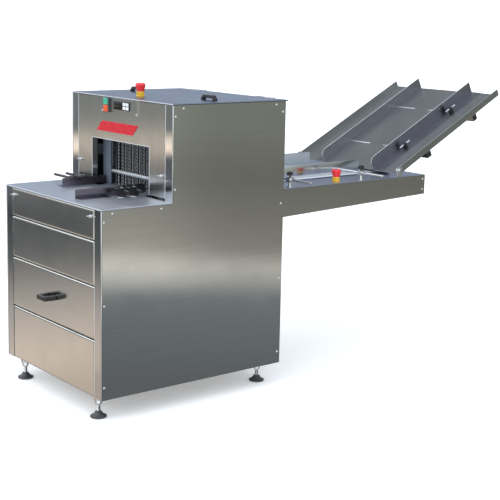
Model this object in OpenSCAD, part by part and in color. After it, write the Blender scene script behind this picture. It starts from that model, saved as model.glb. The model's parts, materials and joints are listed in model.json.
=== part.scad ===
// Frame-type bread slicer: cabinet with an outfeed table, blade housing, belt infeed and loading chute.
// Millimetres. +X runs from the outfeed table to the chute, +Z is up and the floor is Z = 0.
// The right side is the -Y side, as seen by a person who stands at the table and looks along +X.

/* [Cabinet] */
// Width across the two side panels
cabinet_w = 795; // [750:5:880]
// Length of the outfeed table in front of the housing
table_len = 335; // [315:5:400]
// Length of the blade housing behind the table
housing_len = 592; // [560:4:680]
// Height of the table above the cabinet's lower edge
table_h = 775; // [755:5:800]
// Height of the roof above the table
housing_rise = 400; // [385:5:465]
// Thickness of the sheet metal
sheet_t = 2; // [1.5:0.5:2.5]
// Height of the folded rim of the table top and of the roof lid
cap_h = 6; // [5:1:9]
// Width of that rim's fold on the underside
cap_rim = 20; // [14:1:30]
// Leg width of the corner posts
post_w = 50; // [46:1:54]
// Leg thickness of the angle bars
angle_t = 4; // [3:0.5:5]
// Width of the rails of the frame
rail_w = 40; // [30:1:44]

/* [Front panels] */
// Depth of the seam above the drawer below the table
drawer_drop = 315; // [295:1:355]
// Height of the drawer's front
drawer_front_h = 221; // [180:1:250]
// Depth of the seam under the removable panel below the table
upper_drop = 131; // [95:1:175]
// Depth of the folded lips round a front panel
panel_lip = 16; // [12:1:18]
// Gap between neighbouring panels
panel_gap = 3; // [2:0.5:4]
// Width of the outfeed window
window_w = 456; // [440:2:480]
// Height of the outfeed window above the table
window_h = 210; // [190:5:220]
// Depth of the inward lips round the window
window_lip = 28; // [20:1:34]
// Gap between the housing's front panel and the table
skirt_gap = 10; // [6:1:20]
// Distance of the wing screws from the cabinet's sides
wing_in = 76.5; // [72:0.5:98]

/* [Feet] */
// Height of the cabinet's lower edge above the floor
foot_h = 96; // [85:1:120]
// Distance of the front feet from the front face
foot_front = 38; // [34:1:60]
// Distance of the rear feet from the rear face
foot_rear = 60; // [45:1:70]
// Distance of the feet from the side panels
foot_side = 85; // [60:1:120]
// Diameter of a foot's threaded stem
stem_d = 16; // [12:1:20]
// Diameter of a foot's base
pad_d = 68; // [50:1:80]

/* [Drawer] */
// Reach of the crumb drawer behind the housing's front
drawer_past = 165; // [100:5:175]
// Length of the handle where it meets the drawer
handle_base = 80; // [76:1:110]
// Length of the handle's grip
handle_grip = 68; // [60:1:75]
// Reach of the handle in front of the drawer
handle_reach = 54; // [45:1:70]
// Thickness of the handle
handle_t = 20; // [16:1:22]

/* [Controls] */
// Width of the control plate
control_w = 290; // [270:2:320]
// Height of the control plate
control_h = 70; // [64:1:76]
// Width of the counter's display
display_w = 124; // [110:1:140]
// Height of the counter's display
display_h = 37; // [30:1:48]
// Width of the name plate
plate_w = 288; // [240:2:320]
// Height of the name plate
plate_h = 45; // [36:1:56]
// Sideways slant of the name plate's ends
plate_slant = 46; // [20:1:60]
// Diameter of an emergency stop's mushroom head
stop_d = 46; // [42:1:50]
// Travel of an emergency stop
stop_travel = 6; // [4:0.5:8]
// Travel of the start and stop buttons
button_travel = 4; // [2:0.5:5]

/* [Blades] */
// Clear width of the loaf channel
channel_w = 355; // [340:1:365]
// Distance between neighbouring blades
blade_pitch = 14; // [12:0.5:16]
// Thickness of a blade
blade_t = 0.8; // [0.5:0.1:1.2]
// Width of a blade along the feed direction
blade_w = 12; // [9:1:14]
// Radius of the cranks: half of the blade stroke
crank_r = 20; // [16:1:22]
// Diameter of the crank pins
pin_d = 16; // [12:1:18]
// Thickness of the blade frames along the feed direction
frame_x = 18; // [14:1:20]
// Width of the bars of the blade frames
frame_bar = 26; // [20:1:30]

/* [Infeed] */
// Length of the infeed behind the housing
infeed_len = 937; // [860:1:1000]
// Distance of the infeed's side plates from the cabinet's sides
infeed_inset = 35; // [25:1:50]
// Depth of the side plates at the housing
infeed_deep = 129; // [115:1:140]
// Depth of the side plates at the far end
infeed_end_deep = 95; // [85:1:110]
// Thickness of the infeed's side plates
infeed_t = 3; // [2:0.5:4]
// Height of the infeed deck above the table
deck_rise = 5; // [3:1:8]
// Diameter of the belt rollers
roller_d = 60; // [50:1:64]
// Width of the feed belt
belt_w = 340; // [320:1:345]
// Thickness of the feed belt
belt_t = 3; // [2:0.5:4]
// Height of the infeed guides
infeed_guide_h = 65; // [50:1:80]
// Distance of the infeed guides' far ends from the infeed's far end
infeed_guide_back = 276; // [230:1:370]
// Diameter of the guides' adjusting rods
rod_d = 12; // [10:1:14]
// Length of the infeed guides' rods
infeed_rod_len = 305; // [280:1:330]
// Distance of the infeed clamp posts from the middle of the machine
infeed_post_y = 335; // [310:1:338]
// Height of the infeed rods above the deck
infeed_rod_h = 33; // [28:1:40]

/* [Outfeed guides] */
// Height of the outfeed guides
outfeed_guide_h = 38; // [36:1:44]
// Distance of the right guide's face from the middle of the machine
right_guide_y = 106; // [95:1:115]
// Distance of the left guide's face from the middle of the machine
left_guide_y = 200; // [190:1:206]
// Distance of the right guide's front end from the front face
right_guide_x = 53; // [30:1:90]
// Distance of the left guide's front end from the front face
left_guide_x = 168; // [120:1:190]
// Length of the left outfeed guide's rods
outfeed_rod_len = 195; // [150:1:200]
// Length of the right outfeed guide's rods
right_rod_len = 118; // [116:1:200]
// Height of the outfeed rods above the table
outfeed_rod_h = 28; // [24:1:29]

/* [Chute] */
// Slope of the chute, in degrees
chute_angle = 27.2; // [22:0.2:32]
// Length of the chute's tray
chute_len = 793; // [700:1:860]
// Distance of the tray's walls from the cabinet's sides
chute_inset = 40; // [38:1:46]
// Height of the tray's side walls
chute_wall = 32; // [30:1:40]
// Height of the chute's guides
chute_guide_h = 61; // [50:1:75]
// Width of the foot of a chute guide
chute_foot_w = 62; // [50:1:70]
// Distance of the pivot from the infeed's far end
pivot_back = 178; // [160:1:200]
// Height of the pivot above the deck
pivot_rise = 31; // [28:1:40]
// Depth of the tray's floor below the pivot
floor_drop = 18; // [16:1:20]
// Size of the square tubes under the tray
cross_tube = 30; // [24:1:34]

/* [Fits] */
// Gap between pieces that move past each other
slide_gap = 0.5; // [0.4:0.1:0.8]
// Gap between a piece at rest and its seat
seat_gap = 0.3; // [0.25:0.05:0.4]
// Radial clearance of shafts, pins and rods in their bores
run_gap = 0.05; // [0.03:0.01:0.1]

/* [Hidden] */
$fn = 48;
eps = 1;

// Colours
steel = [0.62, 0.63, 0.62];
bright = [0.74, 0.75, 0.76];
dark_steel = [0.36, 0.35, 0.38];
black = [0.06, 0.06, 0.07];
grey_plastic = [0.25, 0.26, 0.27];
red = [0.85, 0.12, 0.2];
yellow = [0.9, 0.7, 0.12];
green = [0.15, 0.65, 0.48];
orange = [0.94, 0.36, 0.1];
cast = [0.3, 0.36, 0.4];
rubber = [0.1, 0.1, 0.1];
belt_white = [0.86, 0.87, 0.85];

// Main levels and faces
base_z = foot_h;
table_z = base_z + table_h;
housing_h = table_h + housing_rise;
roof_z = base_z + housing_h;
rear_x = table_len + housing_len;
side_y = cabinet_w / 2;
inner_y = side_y - sheet_t;
wing_y = side_y - wing_in;
post_y = inner_y - post_w;
table_under = table_z - cap_h;
wall_top = roof_z - cap_h - seat_gap;
back_x = rear_x - sheet_t;
drawer_high_z = table_z - drawer_drop;
drawer_low_z = drawer_high_z - drawer_front_h;
upper_seam_z = table_z - upper_drop;
rail_x = panel_lip;

// Blade mechanism, counted from the table and the housing's front
tower_wall = 4;
tower_in = 73;
tower_x = table_len + tower_in;
frame_a_x = tower_x + tower_wall + slide_gap + frame_x / 2;
rib_x = frame_a_x + frame_x / 2 + slide_gap;
rib_w = 17;
rib_in = 4;
frame_b_x = rib_x + rib_w + slide_gap + frame_x / 2;
tower_back = frame_b_x + frame_x / 2 + slide_gap + tower_wall;
stile_gap = 8;
stile_in = channel_w / 2 + stile_gap;
stile_out = stile_in + frame_bar;
column_gap = 1;
column_in = channel_w / 2 + column_gap;
web_y = stile_out + slide_gap;
column_out = web_y + tower_wall;
flange_set = 11;
flange_w = 62;
flange_in = column_in + flange_set;
beam_drop = 85;
beam_rise = 95;
beam_low = table_z - beam_drop;
beam_high = table_z + window_h + beam_rise;
frame_top = beam_high + frame_bar;
stroke_low_gap = 10;
stroke_high_gap = 8;
tower_low = beam_low - crank_r - stroke_low_gap;
tower_high = frame_top + crank_r + stroke_high_gap;
tie_t = 6;
foot_plate_t = 8;
blade_count = 2 * floor(channel_w / blade_pitch / 2);
function blade_y(i) = (i - (blade_count - 1) / 2) * blade_pitch;
blade_slot_gap = 2;
tongue_t = 4;
tongue_past = 8;
tongue_end = tower_back + tongue_past;

// Crank drive
crank_rise = 100;
crank_z = drawer_high_z + crank_rise;
web_edge = 5;
web_r = crank_r + pin_d / 2 + web_edge;
web_gap = 3;
journal_d = 25;
journal_past = 6;
bearing_h = 30;
bearing_w = 32;
bearing_base_w = 110;
bearing_base_t = 14;
bearing_d = 58;
drive_z = crank_z - bearing_h;
beam_t = 10;
web_t = 9;
bearing_gap = 3;
bearing_out = web_gap + web_t + bearing_gap + bearing_w / 2;
bear_front_x = frame_a_x - frame_x / 2 - bearing_out;
bear_rear_x = frame_b_x + frame_x / 2 + bearing_out;
lag_angle = acos(2 / PI);
yoke_lag = crank_r * (sin(lag_angle) - lag_angle / 90);
yoke_slot_h = pin_d + 2 * (yoke_lag + slide_gap);
yoke_end_gap = 3;
yoke_side = 18;
yoke_under = 16;
yoke_slot_w = 2 * (crank_r + yoke_end_gap) + pin_d;
yoke_w = yoke_slot_w + 2 * yoke_side;
yoke_low = crank_z - yoke_slot_h / 2 - yoke_under;
pulley_w = 30;
pulley_gap = 26;
pulley_rim = 4;
pulley_x = bear_rear_x + bearing_w / 2 + pulley_gap;
crank_pulley_d = 200;
motor_pulley_d = 80;
drive_belt_t = 8;
drive_belt_w = 18;
motor_rise = 230;
motor_z = base_z + motor_rise;
motor_d = 160;
motor_gap = 40;
motor_x = pulley_x + pulley_w + motor_gap;
motor_len = 240;
motor_shaft_d = 24;
motor_foot_h = 12;
motor_foot_z = motor_z - motor_d / 2 - motor_foot_h;
motor_foot_w = 120;
motor_foot_in = 30;
motor_rail_in = 50;
motor_nose = 12;
motor_nose_d = 110;
shaft_in = 30;
shaft_past = 4;
terminal_x = 60;
terminal_len = 90;
terminal_w = 90;
terminal_h = 22;

// Drawer
drawer_gap = 2;
drawer_side_gap = 8;
drawer_depth = table_len + drawer_past;
drawer_bottom = drawer_low_z + rail_w / 2 + drawer_gap;
drawer_top = drawer_high_z - rail_w / 2 - drawer_gap;
drawer_half = post_y - drawer_side_gap;
runner_w = 24;
runner_h = 30;
runner_past = 10;
runner_z = drawer_bottom - seat_gap;

// Controls on the housing's front
control_t = 3;
control_drop = 41;
control_z = roof_z - control_drop;
button_y = 90;
button_up = 3;
button_z = control_z + button_up;
button_w = 32;
button_h = 29;
button_box_w = 36;
button_box_h = 64;
button_box_t = 12;
button_proud = 3;
button_offset = 15.5;
well_floor = 2;
display_y = -21;
display_up = 5;
display_z = control_z + display_up;
display_t = 4;
name_y = 21;
name_drop = 133;
name_z = roof_z - name_drop;
name_t = 1.5;
wing_rise = 100;
wing_drop = 36;
wing_z = table_z + wing_rise;
lower_wing_z = table_z - wing_drop;
wing_shank_d = 6;

// Roof lid, its hinge and the roof's emergency stop
hinge_d = 12;
hinge_pin_d = 6;
hinge_x = rear_x + hinge_d / 2 + seat_gap;
hinge_z = roof_z - cap_h / 2;
ear_len = 60;
ear_in = 150;
ear_y = side_y - ear_in;
ear_drop = 40;
ear_t = 3;
roof_stop_in = 114;
roof_stop_x = table_len + roof_stop_in;
roof_stop_y = 14;
lid_handle_back = 269;
lid_handle_in = 122;
lid_handle_x = table_len + lid_handle_back;
lid_handle_y = side_y - lid_handle_in;
lid_handle_len = 98;
lid_handle_h = 21;
lid_handle_t = 18;

// Emergency stop
collar_h = 21;
collar_step = 5;
collar_floor = 4;
collar_d = stop_d - 2 * collar_step;
stem_bore_d = 30;
stop_neck_d = stem_bore_d - 2 * slide_gap;
stop_head_h = 30;
stop_cone_h = 20;
stop_lift = stop_travel + slide_gap;

// Infeed
deck_z = table_z + deck_rise;
infeed_x = rear_x;
infeed_end_x = rear_x + infeed_len;
infeed_y = side_y - infeed_inset;
plate_y = infeed_y - infeed_t;
deck_t = 3;
deck_low = deck_z - deck_t;
roller_r = roller_d / 2;
belt_gap = 0.3;
roller_z = deck_z - roller_r - belt_gap;
roller_from_tower = 25;
drive_roller_x = tower_back + roller_from_tower + roller_r;
idler_in = 75;
idler_x = infeed_end_x - idler_in;
belt_in_r = roller_r + belt_gap;
belt_out_r = belt_in_r + belt_t;
belt_clear = 6;
roller_shaft_d = 20;
shaft_hole_d = 24;
cheek_t = 4;
cheek_drop = 95;
cheek_rise = 70;
cheek_low = deck_z - cheek_drop;
cheek_high = deck_z + cheek_rise;
mouth_side = 36;
mouth_drop = 10;
mouth_y = column_in + cheek_t + mouth_side;
mouth_low = cheek_low - mouth_drop;
unit_w = 54;
unit_t = 18;
unit_top_cut = 4;
guide_t = 2;
guide_lift = 2;
guide_low = deck_z + belt_t + guide_lift;
guide_start = 8;
infeed_guide_x = rear_x + guide_start;
infeed_guide_end = infeed_end_x - infeed_guide_back;
infeed_foot_w = 28;
rod_in_front = 80;
rod_in_rear = 133;
rod_x_front = infeed_guide_x + rod_in_front;
rod_x_rear = infeed_guide_end - rod_in_rear;
infeed_rod_z = deck_z + infeed_rod_h;
post_d = 14;
post_block = 24;
post_flange_d = 30;
post_flange_t = 4;
knob_d = 28;
knob_h = 16;
knob_neck = 8;
knob_stud_d = 8;
stop_from_rod = 138;
infeed_stop_x = rod_x_rear - stop_from_rod;
infeed_stop_in = 85;
infeed_stop_y = side_y - infeed_stop_in;

// Outfeed guides
outfeed_rod_z = table_z + outfeed_rod_h;
outfeed_end_gap = 14;
outfeed_guide_end = tower_x - outfeed_end_gap;
outfeed_foot_gap = 130;
outfeed_foot_w = 40;
outfeed_low = table_z + seat_gap;
outfeed_rod_front = 95;
outfeed_rod_rear = 35;
outfeed_rod_x = [table_len - outfeed_rod_front, table_len - outfeed_rod_rear];
right_post_out = 62;
left_post_out = 32;
right_post_y = right_guide_y + right_post_out;
left_post_y = left_guide_y + left_post_out;
outfeed_post_h = 40;
outfeed_cap_h = 10;
outfeed_post_w = 26;

// Hold-down gate in the window
gate_front = 2;
gate_hang = 15;
gate_bar_rise = 61;
gate_x = tower_x - gate_front;
gate_pivot_z = table_z + window_h + gate_hang;
gate_bar_z = table_z + gate_bar_rise;
gate_bar_d = 14;
gate_arm_w = 12;
gate_arm_t = 4;
gate_in = 19;
gate_y = channel_w / 2 - gate_in;
gate_pin_d = 10;
gate_lug_t = 10;
gate_lug_y = gate_y + gate_arm_t + slide_gap;

// Chute, in its own frame: u runs up the tray from the pivot and w is square to the floor
pivot_x = infeed_end_x - pivot_back;
pivot_z = deck_z + pivot_rise;
chute_y = side_y - chute_inset;
chute_lip = 6;
chute_t = 2;
floor_w = -floor_drop;
floor_under = floor_w - chute_t;
chute_top = chute_len - chute_lip;
bar_u = [0.27 * chute_len, 0.73 * chute_len];
tube_wall = 2.5;
slot_w = 9;
clamp_out = 30;
clamp_y = channel_w / 2 + clamp_out;
slot_in = 46;
clamp_d = 8;
pivot_d = 12;
tab_w = 34;
tab_top = 16;
tab_t = 3;
tab_y = infeed_y - tab_t;
function under_z(x) = pivot_z + (x - pivot_x) * tan(chute_angle) + floor_under / cos(chute_angle);
rest_y = 120;

// Middle of the whole machine along X, which becomes the origin
low_x = -handle_reach;
high_x = pivot_x + chute_top * cos(chute_angle) - floor_under * sin(chute_angle);
shift_x = -(low_x + high_x) / 2;

// Helpers
module place() translate([shift_x, 0, 0]) children();
module block(low, high) translate(low) cube(high - low);
module both_sides() {
  children();
  mirror([0, 1, 0]) children();
}
module bar_x(d, x0, x1, y, z) translate([x0, y, z]) rotate([0, 90, 0]) cylinder(h = x1 - x0, d = d);
module bar_y(d, x, y0, y1, z) translate([x, y0, z]) rotate([-90, 0, 0]) cylinder(h = y1 - y0, d = d);
module bar_z(d, x, y, z0, z1) translate([x, y, z0]) cylinder(h = z1 - z0, d = d);
// An outline in X and Z, as thick as t from y towards +Y
module plate_xz(y, t, points) translate([0, y + t, 0]) rotate([90, 0, 0]) linear_extrude(t) polygon(points);
// A folded pan that opens towards +X
module pan(x, half_y, z0, z1, lip) difference() {
  block([x, -half_y, z0], [x + lip, half_y, z1]);
  block([x + sheet_t, -half_y + sheet_t, z0 + sheet_t], [x + lip + eps, half_y - sheet_t, z1 - sheet_t]);
}
module on_chute() translate([pivot_x, 0, pivot_z]) rotate([0, -chute_angle, 0]) children();

panel_half = post_y - panel_gap / 2;

// Frame of angle bars, with the drawer's runners and the bars that carry the drive
module side_rail(x0, x1, z) both_sides() {
  block([x0, inner_y - rail_w, z - angle_t], [x1, inner_y, z]);
  block([x0, inner_y - angle_t, z - rail_w], [x1, inner_y, z]);
}
module corner_post(x, leg_x, z1) both_sides() {
  block([leg_x, post_y, base_z], [leg_x + angle_t, inner_y, z1]);
  block([x, inner_y - angle_t, base_z], [x + post_w, inner_y, z1]);
}
base_cross = 90;
wing_plate_in = 15;
wing_plate_h = 40;
module chassis_frame() color(steel) place() {
  corner_post(0, 0, table_under);
  corner_post(table_len, table_len, wall_top);
  corner_post(back_x - post_w, back_x - angle_t, wall_top);
  side_rail(0, back_x, base_z + rail_w);
  side_rail(0, table_len, table_under);
  side_rail(table_len, back_x, motor_foot_z - beam_t);
  side_rail(table_len, back_x, drive_z - beam_t);
  side_rail(table_len, back_x, tower_low - foot_plate_t);
  side_rail(table_len, back_x, wall_top);
  for (x = [rail_x, back_x - base_cross])
    block([x, -inner_y, base_z], [x + base_cross, inner_y, base_z + angle_t]);
  for (z = [drawer_low_z, drawer_high_z, upper_seam_z])
    block([rail_x, -inner_y, z - rail_w / 2], [rail_x + angle_t, inner_y, z + rail_w / 2]);
  block([rail_x, -inner_y, table_under - rail_w], [rail_x + angle_t, inner_y, table_under]);
  for (x = [table_len + panel_lip, back_x - rail_w])
    block([x, -inner_y, wall_top - angle_t], [x + rail_w, inner_y, wall_top]);
  for (x = [bear_front_x, bear_rear_x])
    block([x - bearing_w / 2, -inner_y, drive_z - beam_t], [x + bearing_w / 2, inner_y, drive_z]);
  for (x = [motor_x + motor_rail_in, motor_x + motor_len - motor_rail_in])
    block([x - rail_w / 2, -inner_y, motor_foot_z - beam_t], [x + rail_w / 2, inner_y, motor_foot_z]);
  both_sides() {
    block([table_len + panel_lip, wing_y - wing_plate_in, wing_z - wing_plate_h / 2],
      [table_len + panel_lip + angle_t, inner_y, wing_z + wing_plate_h / 2]);
    block([rail_x + angle_t, drawer_half - runner_w, runner_z - angle_t],
      [drawer_depth + runner_past, post_y, runner_z]);
    block([rail_x + angle_t, post_y - angle_t, runner_z - angle_t],
      [drawer_depth + runner_past, post_y, runner_z + runner_h]);
  }
}

// Side panels with their screws
screw_in = 14;
screw_step = 52;
screw_d = 5;
screw_head_d = 11;
screw_head_h = 3;
side_screws = concat(
  [for (x = [screw_in, rear_x - screw_in], z = [screw_step, table_h / 2, table_h - screw_step]) [x, z]],
  [for (x = [screw_step, table_len - screw_step]) [x, table_h - cap_h - screw_in]],
  [for (x = [table_len + screw_step, rear_x - screw_step]) [x, housing_h - cap_h - screw_in]],
  [for (x = [table_len + screw_in, rear_x - screw_in]) [x, housing_h - screw_step]],
  [[table_len + screw_in, table_h + screw_step]]
);
module side_panels() color(steel) place() both_sides() difference() {
  plate_xz(inner_y, sheet_t, [[0, base_z], [rear_x, base_z], [rear_x, wall_top], [table_len, wall_top],
    [table_len, table_under], [0, table_under]]);
  for (p = side_screws)
    bar_y(screw_d, p.x, inner_y - eps, side_y + eps, base_z + p.y);
}
module panel_screws() color(bright) place() both_sides() for (p = side_screws) {
  bar_y(screw_d - 2 * run_gap, p.x, inner_y, side_y, base_z + p.y);
  translate([p.x, side_y, base_z + p.y]) rotate([-90, 0, 0])
    cylinder(h = screw_head_h, d1 = screw_head_d, d2 = 0.6 * screw_head_d);
}

// Front panels of the lower cabinet
module upper_front_panel() color(steel) place() difference() {
  pan(0, panel_half, upper_seam_z + panel_gap / 2, table_under - seat_gap, panel_lip);
  both_sides() bar_x(wing_shank_d + 2 * run_gap, -eps, sheet_t + eps, wing_y, lower_wing_z);
}
module fixed_front_panels() color(steel) place() {
  pan(0, panel_half, drawer_high_z + panel_gap / 2, upper_seam_z - panel_gap / 2, panel_lip);
  pan(0, panel_half, base_z + seat_gap, drawer_low_z - panel_gap / 2, panel_lip);
}
wing_boss_d = 14;
wing_boss_t = 9;
wing_span = 34;
wing_t = 3;
wing_reach = 8;
wing_root = 2;
module wing_screw(x, y, z) {
  bar_x(wing_shank_d, x, x + panel_lip, y, z);
  bar_x(wing_boss_d, x - wing_boss_t, x, y, z);
  block([x - wing_boss_t - wing_reach, y - wing_span / 2, z - wing_t / 2],
    [x - wing_root, y + wing_span / 2, z + wing_t / 2]);
}
module wing_screws() color(bright) place() both_sides() {
  wing_screw(0, wing_y, lower_wing_z);
  wing_screw(table_len, wing_y, wing_z);
}

// Table top with the tongue that carries the slices through the blades
module table_top() color(bright) place() difference() {
  union() {
    difference() {
      block([0, -side_y, table_under], [table_len, side_y, table_z]);
      block([cap_rim, -side_y + cap_rim, table_under - eps],
        [table_len - cap_rim, side_y - cap_rim, table_z - sheet_t]);
    }
    block([table_len - eps, -column_in + seat_gap, table_z - tongue_t],
      [tongue_end, column_in - seat_gap, table_z]);
  }
  for (i = [0 : blade_count - 1]) {
    x = i % 2 == 0 ? frame_a_x : frame_b_x;
    half = [blade_w / 2 + blade_slot_gap, blade_t / 2 + blade_slot_gap, 0];
    block([x, blade_y(i), table_z - tongue_t - eps] - half, [x, blade_y(i), table_z + eps] + half);
  }
}

// Front of the housing, with the window's inward lips
panel_z = table_z + skirt_gap;
module housing_front_panel() color(steel) place() difference() {
  union() {
    pan(table_len, panel_half, panel_z, wall_top - panel_gap / 2, panel_lip);
    block([table_len, -window_w / 2 - sheet_t, panel_z],
      [table_len + window_lip, window_w / 2 + sheet_t, table_z + window_h + sheet_t]);
  }
  block([table_len - eps, -window_w / 2, panel_z - eps],
    [table_len + window_lip + eps, window_w / 2, table_z + window_h]);
  both_sides() bar_x(wing_shank_d + 2 * run_gap, table_len - eps, table_len + sheet_t + eps, wing_y, wing_z);
}
control_x = table_len - control_t;
module control_plate() color(bright) place()
  block([control_x, -control_w / 2, control_z - control_h / 2],
    [table_len, control_w / 2, control_z + control_h / 2]);
module counter_display() color(black) place()
  block([control_x - display_t, display_y - display_w / 2, display_z - display_h / 2],
    [control_x, display_y + display_w / 2, display_z + display_h / 2]);
box_x = control_x - button_box_t;
module button_box() color(grey_plastic) place() difference() {
  block([box_x, button_y - button_box_w / 2, button_z - button_box_h / 2],
    [control_x, button_y + button_box_w / 2, button_z + button_box_h / 2]);
  for (side = [-1, 1]) {
    half_y = button_w / 2 + slide_gap;
    half_z = button_h / 2 + slide_gap;
    z = button_z + side * button_offset;
    block([box_x - eps, button_y - half_y, z - half_z],
      [control_x - well_floor, button_y + half_y, z + half_z]);
  }
}
module push_button(side) {
  z = button_z + side * button_offset;
  block([box_x - button_proud, button_y - button_w / 2, z - button_h / 2],
    [control_x - well_floor - button_travel - slide_gap, button_y + button_w / 2, z + button_h / 2]);
}
module start_button() color(green) place() push_button(1);
module stop_button() color(orange) place() push_button(-1);
module name_plate() color(red) place() translate([table_len, name_y, name_z]) rotate([90, 0, -90])
  linear_extrude(name_t) polygon([
    [-plate_w / 2 - plate_slant / 2, -plate_h / 2], [plate_w / 2 - plate_slant / 2, -plate_h / 2],
    [plate_w / 2 + plate_slant / 2, plate_h / 2], [-plate_w / 2 + plate_slant / 2, plate_h / 2]]);

// Rear panel with the loaf mouth, the lid's hinge ears and the hole of the cable gland
gland_side = 120;
gland_rise = 120;
gland_y = side_y - gland_side;
gland_z = base_z + gland_rise;
gland_d = 25;
gland_bore = 12;
gland_out = 26;
gland_in = 12;
gland_hex_d = 33;
gland_cap_d = 27;
gland_tip_d = 19;
ear_gap = slide_gap;
module rear_panel() color(steel) place() {
  difference() {
    block([back_x, -inner_y, base_z], [rear_x, inner_y, wall_top - hinge_d]);
    block([back_x - eps, -mouth_y, mouth_low], [rear_x + eps, mouth_y, table_z + window_h]);
    bar_x(gland_d + 2 * run_gap, back_x - eps, rear_x + eps, gland_y, gland_z);
  }
  block([back_x, -inner_y, wall_top - hinge_d], [rear_x, inner_y, wall_top]);
  both_sides() difference() {
    union() {
      bar_y(hinge_d, hinge_x, ear_y, ear_y + ear_len, hinge_z);
      block([rear_x, ear_y, wall_top - ear_drop],
        [rear_x + ear_t, ear_y + ear_len, hinge_z - cap_h / 2 - seat_gap]);
      block([rear_x, ear_y, hinge_z - hinge_d / 2],
        [hinge_x, ear_y + ear_len, hinge_z - cap_h / 2 - seat_gap]);
    }
    bar_y(hinge_pin_d + 2 * run_gap, hinge_x, ear_y - eps, ear_y + ear_len + eps, hinge_z);
  }
}
module cable_gland() color(black) place() difference() {
  union() {
    bar_x(gland_d, back_x - gland_in, rear_x, gland_y, gland_z);
    translate([rear_x, gland_y, gland_z]) rotate([0, 90, 0])
      cylinder(h = gland_out / 2, d = gland_hex_d, $fn = 6);
    translate([rear_x + gland_out / 2, gland_y, gland_z]) rotate([0, 90, 0])
      cylinder(h = gland_out / 2, d1 = gland_cap_d, d2 = gland_tip_d);
  }
  bar_x(gland_bore, back_x - gland_in - eps, rear_x + gland_out + eps, gland_y, gland_z);
}

// Levelling feet
foot_spots = [for (x = [foot_front, rear_x - foot_rear], y = [-1, 1]) [x, y * (side_y - foot_side)]];
pad_h = 26;
pad_rim = 7;
pad_top_d = 26;
foot_nut_h = 25;
foot_nut_d = 39;
lock_nut_h = 16;
lock_nut_d = 29;
module foot_stems() color(bright) place() for (p = foot_spots) {
  bar_z(stem_d, p.x, p.y, pad_h, base_z);
  translate([p.x, p.y, base_z - foot_nut_h]) cylinder(h = foot_nut_h, d = foot_nut_d, $fn = 6);
  translate([p.x, p.y, base_z - foot_nut_h - lock_nut_h])
    cylinder(h = lock_nut_h, d = lock_nut_d, $fn = 6);
}
module foot_pads() color(grey_plastic) place() for (p = foot_spots) translate([p.x, p.y, 0]) {
  cylinder(h = pad_rim, d = pad_d);
  translate([0, 0, pad_rim]) cylinder(h = pad_h - pad_rim, d1 = pad_d, d2 = pad_top_d);
}

// Tower: two columns that guide the blade frames, and the channel's cheeks behind them
module blade_tower() color(cast) place() {
  both_sides() {
    block([tower_x, flange_in, tower_low], [tower_x + tower_wall, flange_in + flange_w, tower_high]);
    block([tower_back - tower_wall, flange_in, tower_low], [tower_back, column_out, tower_high]);
    block([tower_x, web_y, tower_low], [tower_back, column_out, tower_high]);
    block([rib_x, stile_in + rib_in, tower_low], [rib_x + rib_w, column_out, tower_high]);
    block([tower_x, column_in, tower_low - foot_plate_t], [tower_back, inner_y - angle_t, tower_low]);
    difference() {
      block([tower_back - tower_wall, column_in, cheek_low], [back_x, column_in + cheek_t, cheek_high]);
      bar_y(shaft_hole_d, drive_roller_x, column_in - eps, column_in + cheek_t + eps, roller_z);
    }
    difference() {
      union() {
        block([gate_x - gate_pin_d, gate_lug_y, gate_pivot_z - gate_pin_d],
          [gate_x + gate_pin_d, gate_lug_y + gate_lug_t, gate_pivot_z + gate_pin_d]);
        block([gate_x - gate_pin_d, gate_lug_y, gate_pivot_z - gate_pin_d],
          [tower_x, flange_in + gate_lug_t, gate_pivot_z + gate_pin_d]);
      }
      bar_y(gate_pin_d + 2 * run_gap, gate_x, gate_y, gate_lug_y + gate_lug_t + eps, gate_pivot_z);
    }
  }
  block([tower_x, -column_out, tower_high], [tower_back, column_out, tower_high + tie_t]);
}
// Gate that holds the slices down as they leave the blades
module hold_down_gate() color(bright) place() {
  bar_y(gate_bar_d, gate_x, -gate_y - gate_arm_t, gate_y + gate_arm_t, gate_bar_z);
  both_sides() {
    block([gate_x - gate_arm_w / 2, gate_y, gate_bar_z],
      [gate_x + gate_arm_w / 2, gate_y + gate_arm_t, gate_pivot_z]);
    bar_y(gate_arm_w, gate_x, gate_y, gate_y + gate_arm_t, gate_pivot_z);
    bar_y(gate_pin_d, gate_x, gate_y + gate_arm_t / 2, gate_lug_y + gate_lug_t, gate_pivot_z);
  }
}

// Blade frames: a ring with a yoke below it, and the blades stretched between its bars
module blade_frame(x) difference() {
  x0 = x - frame_x / 2;
  x1 = x + frame_x / 2;
  union() {
    block([x0, -stile_out, beam_low], [x1, stile_out, beam_low + frame_bar]);
    block([x0, -stile_out, beam_high], [x1, stile_out, frame_top]);
    both_sides() block([x0, stile_in, beam_low], [x1, stile_out, frame_top]);
    block([x0, -yoke_w / 2, yoke_low], [x1, yoke_w / 2, beam_low + eps]);
  }
  block([x0 - eps, -yoke_slot_w / 2, crank_z - yoke_slot_h / 2],
    [x1 + eps, yoke_slot_w / 2, crank_z + yoke_slot_h / 2]);
}
module blades(first) for (i = [first : 2 : blade_count - 1]) {
  x = i % 2 == 0 ? frame_a_x : frame_b_x;
  half = [blade_w / 2, blade_t / 2, 0];
  block([x, blade_y(i), beam_low + frame_bar] - half, [x, blade_y(i), beam_high] + half);
}
module blade_frame_a() color(cast) place() blade_frame(frame_a_x);
module blade_frame_b() color(cast) place() blade_frame(frame_b_x);
module blades_a() color(bright) place() blades(0);
module blades_b() color(bright) place() blades(1);

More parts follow.
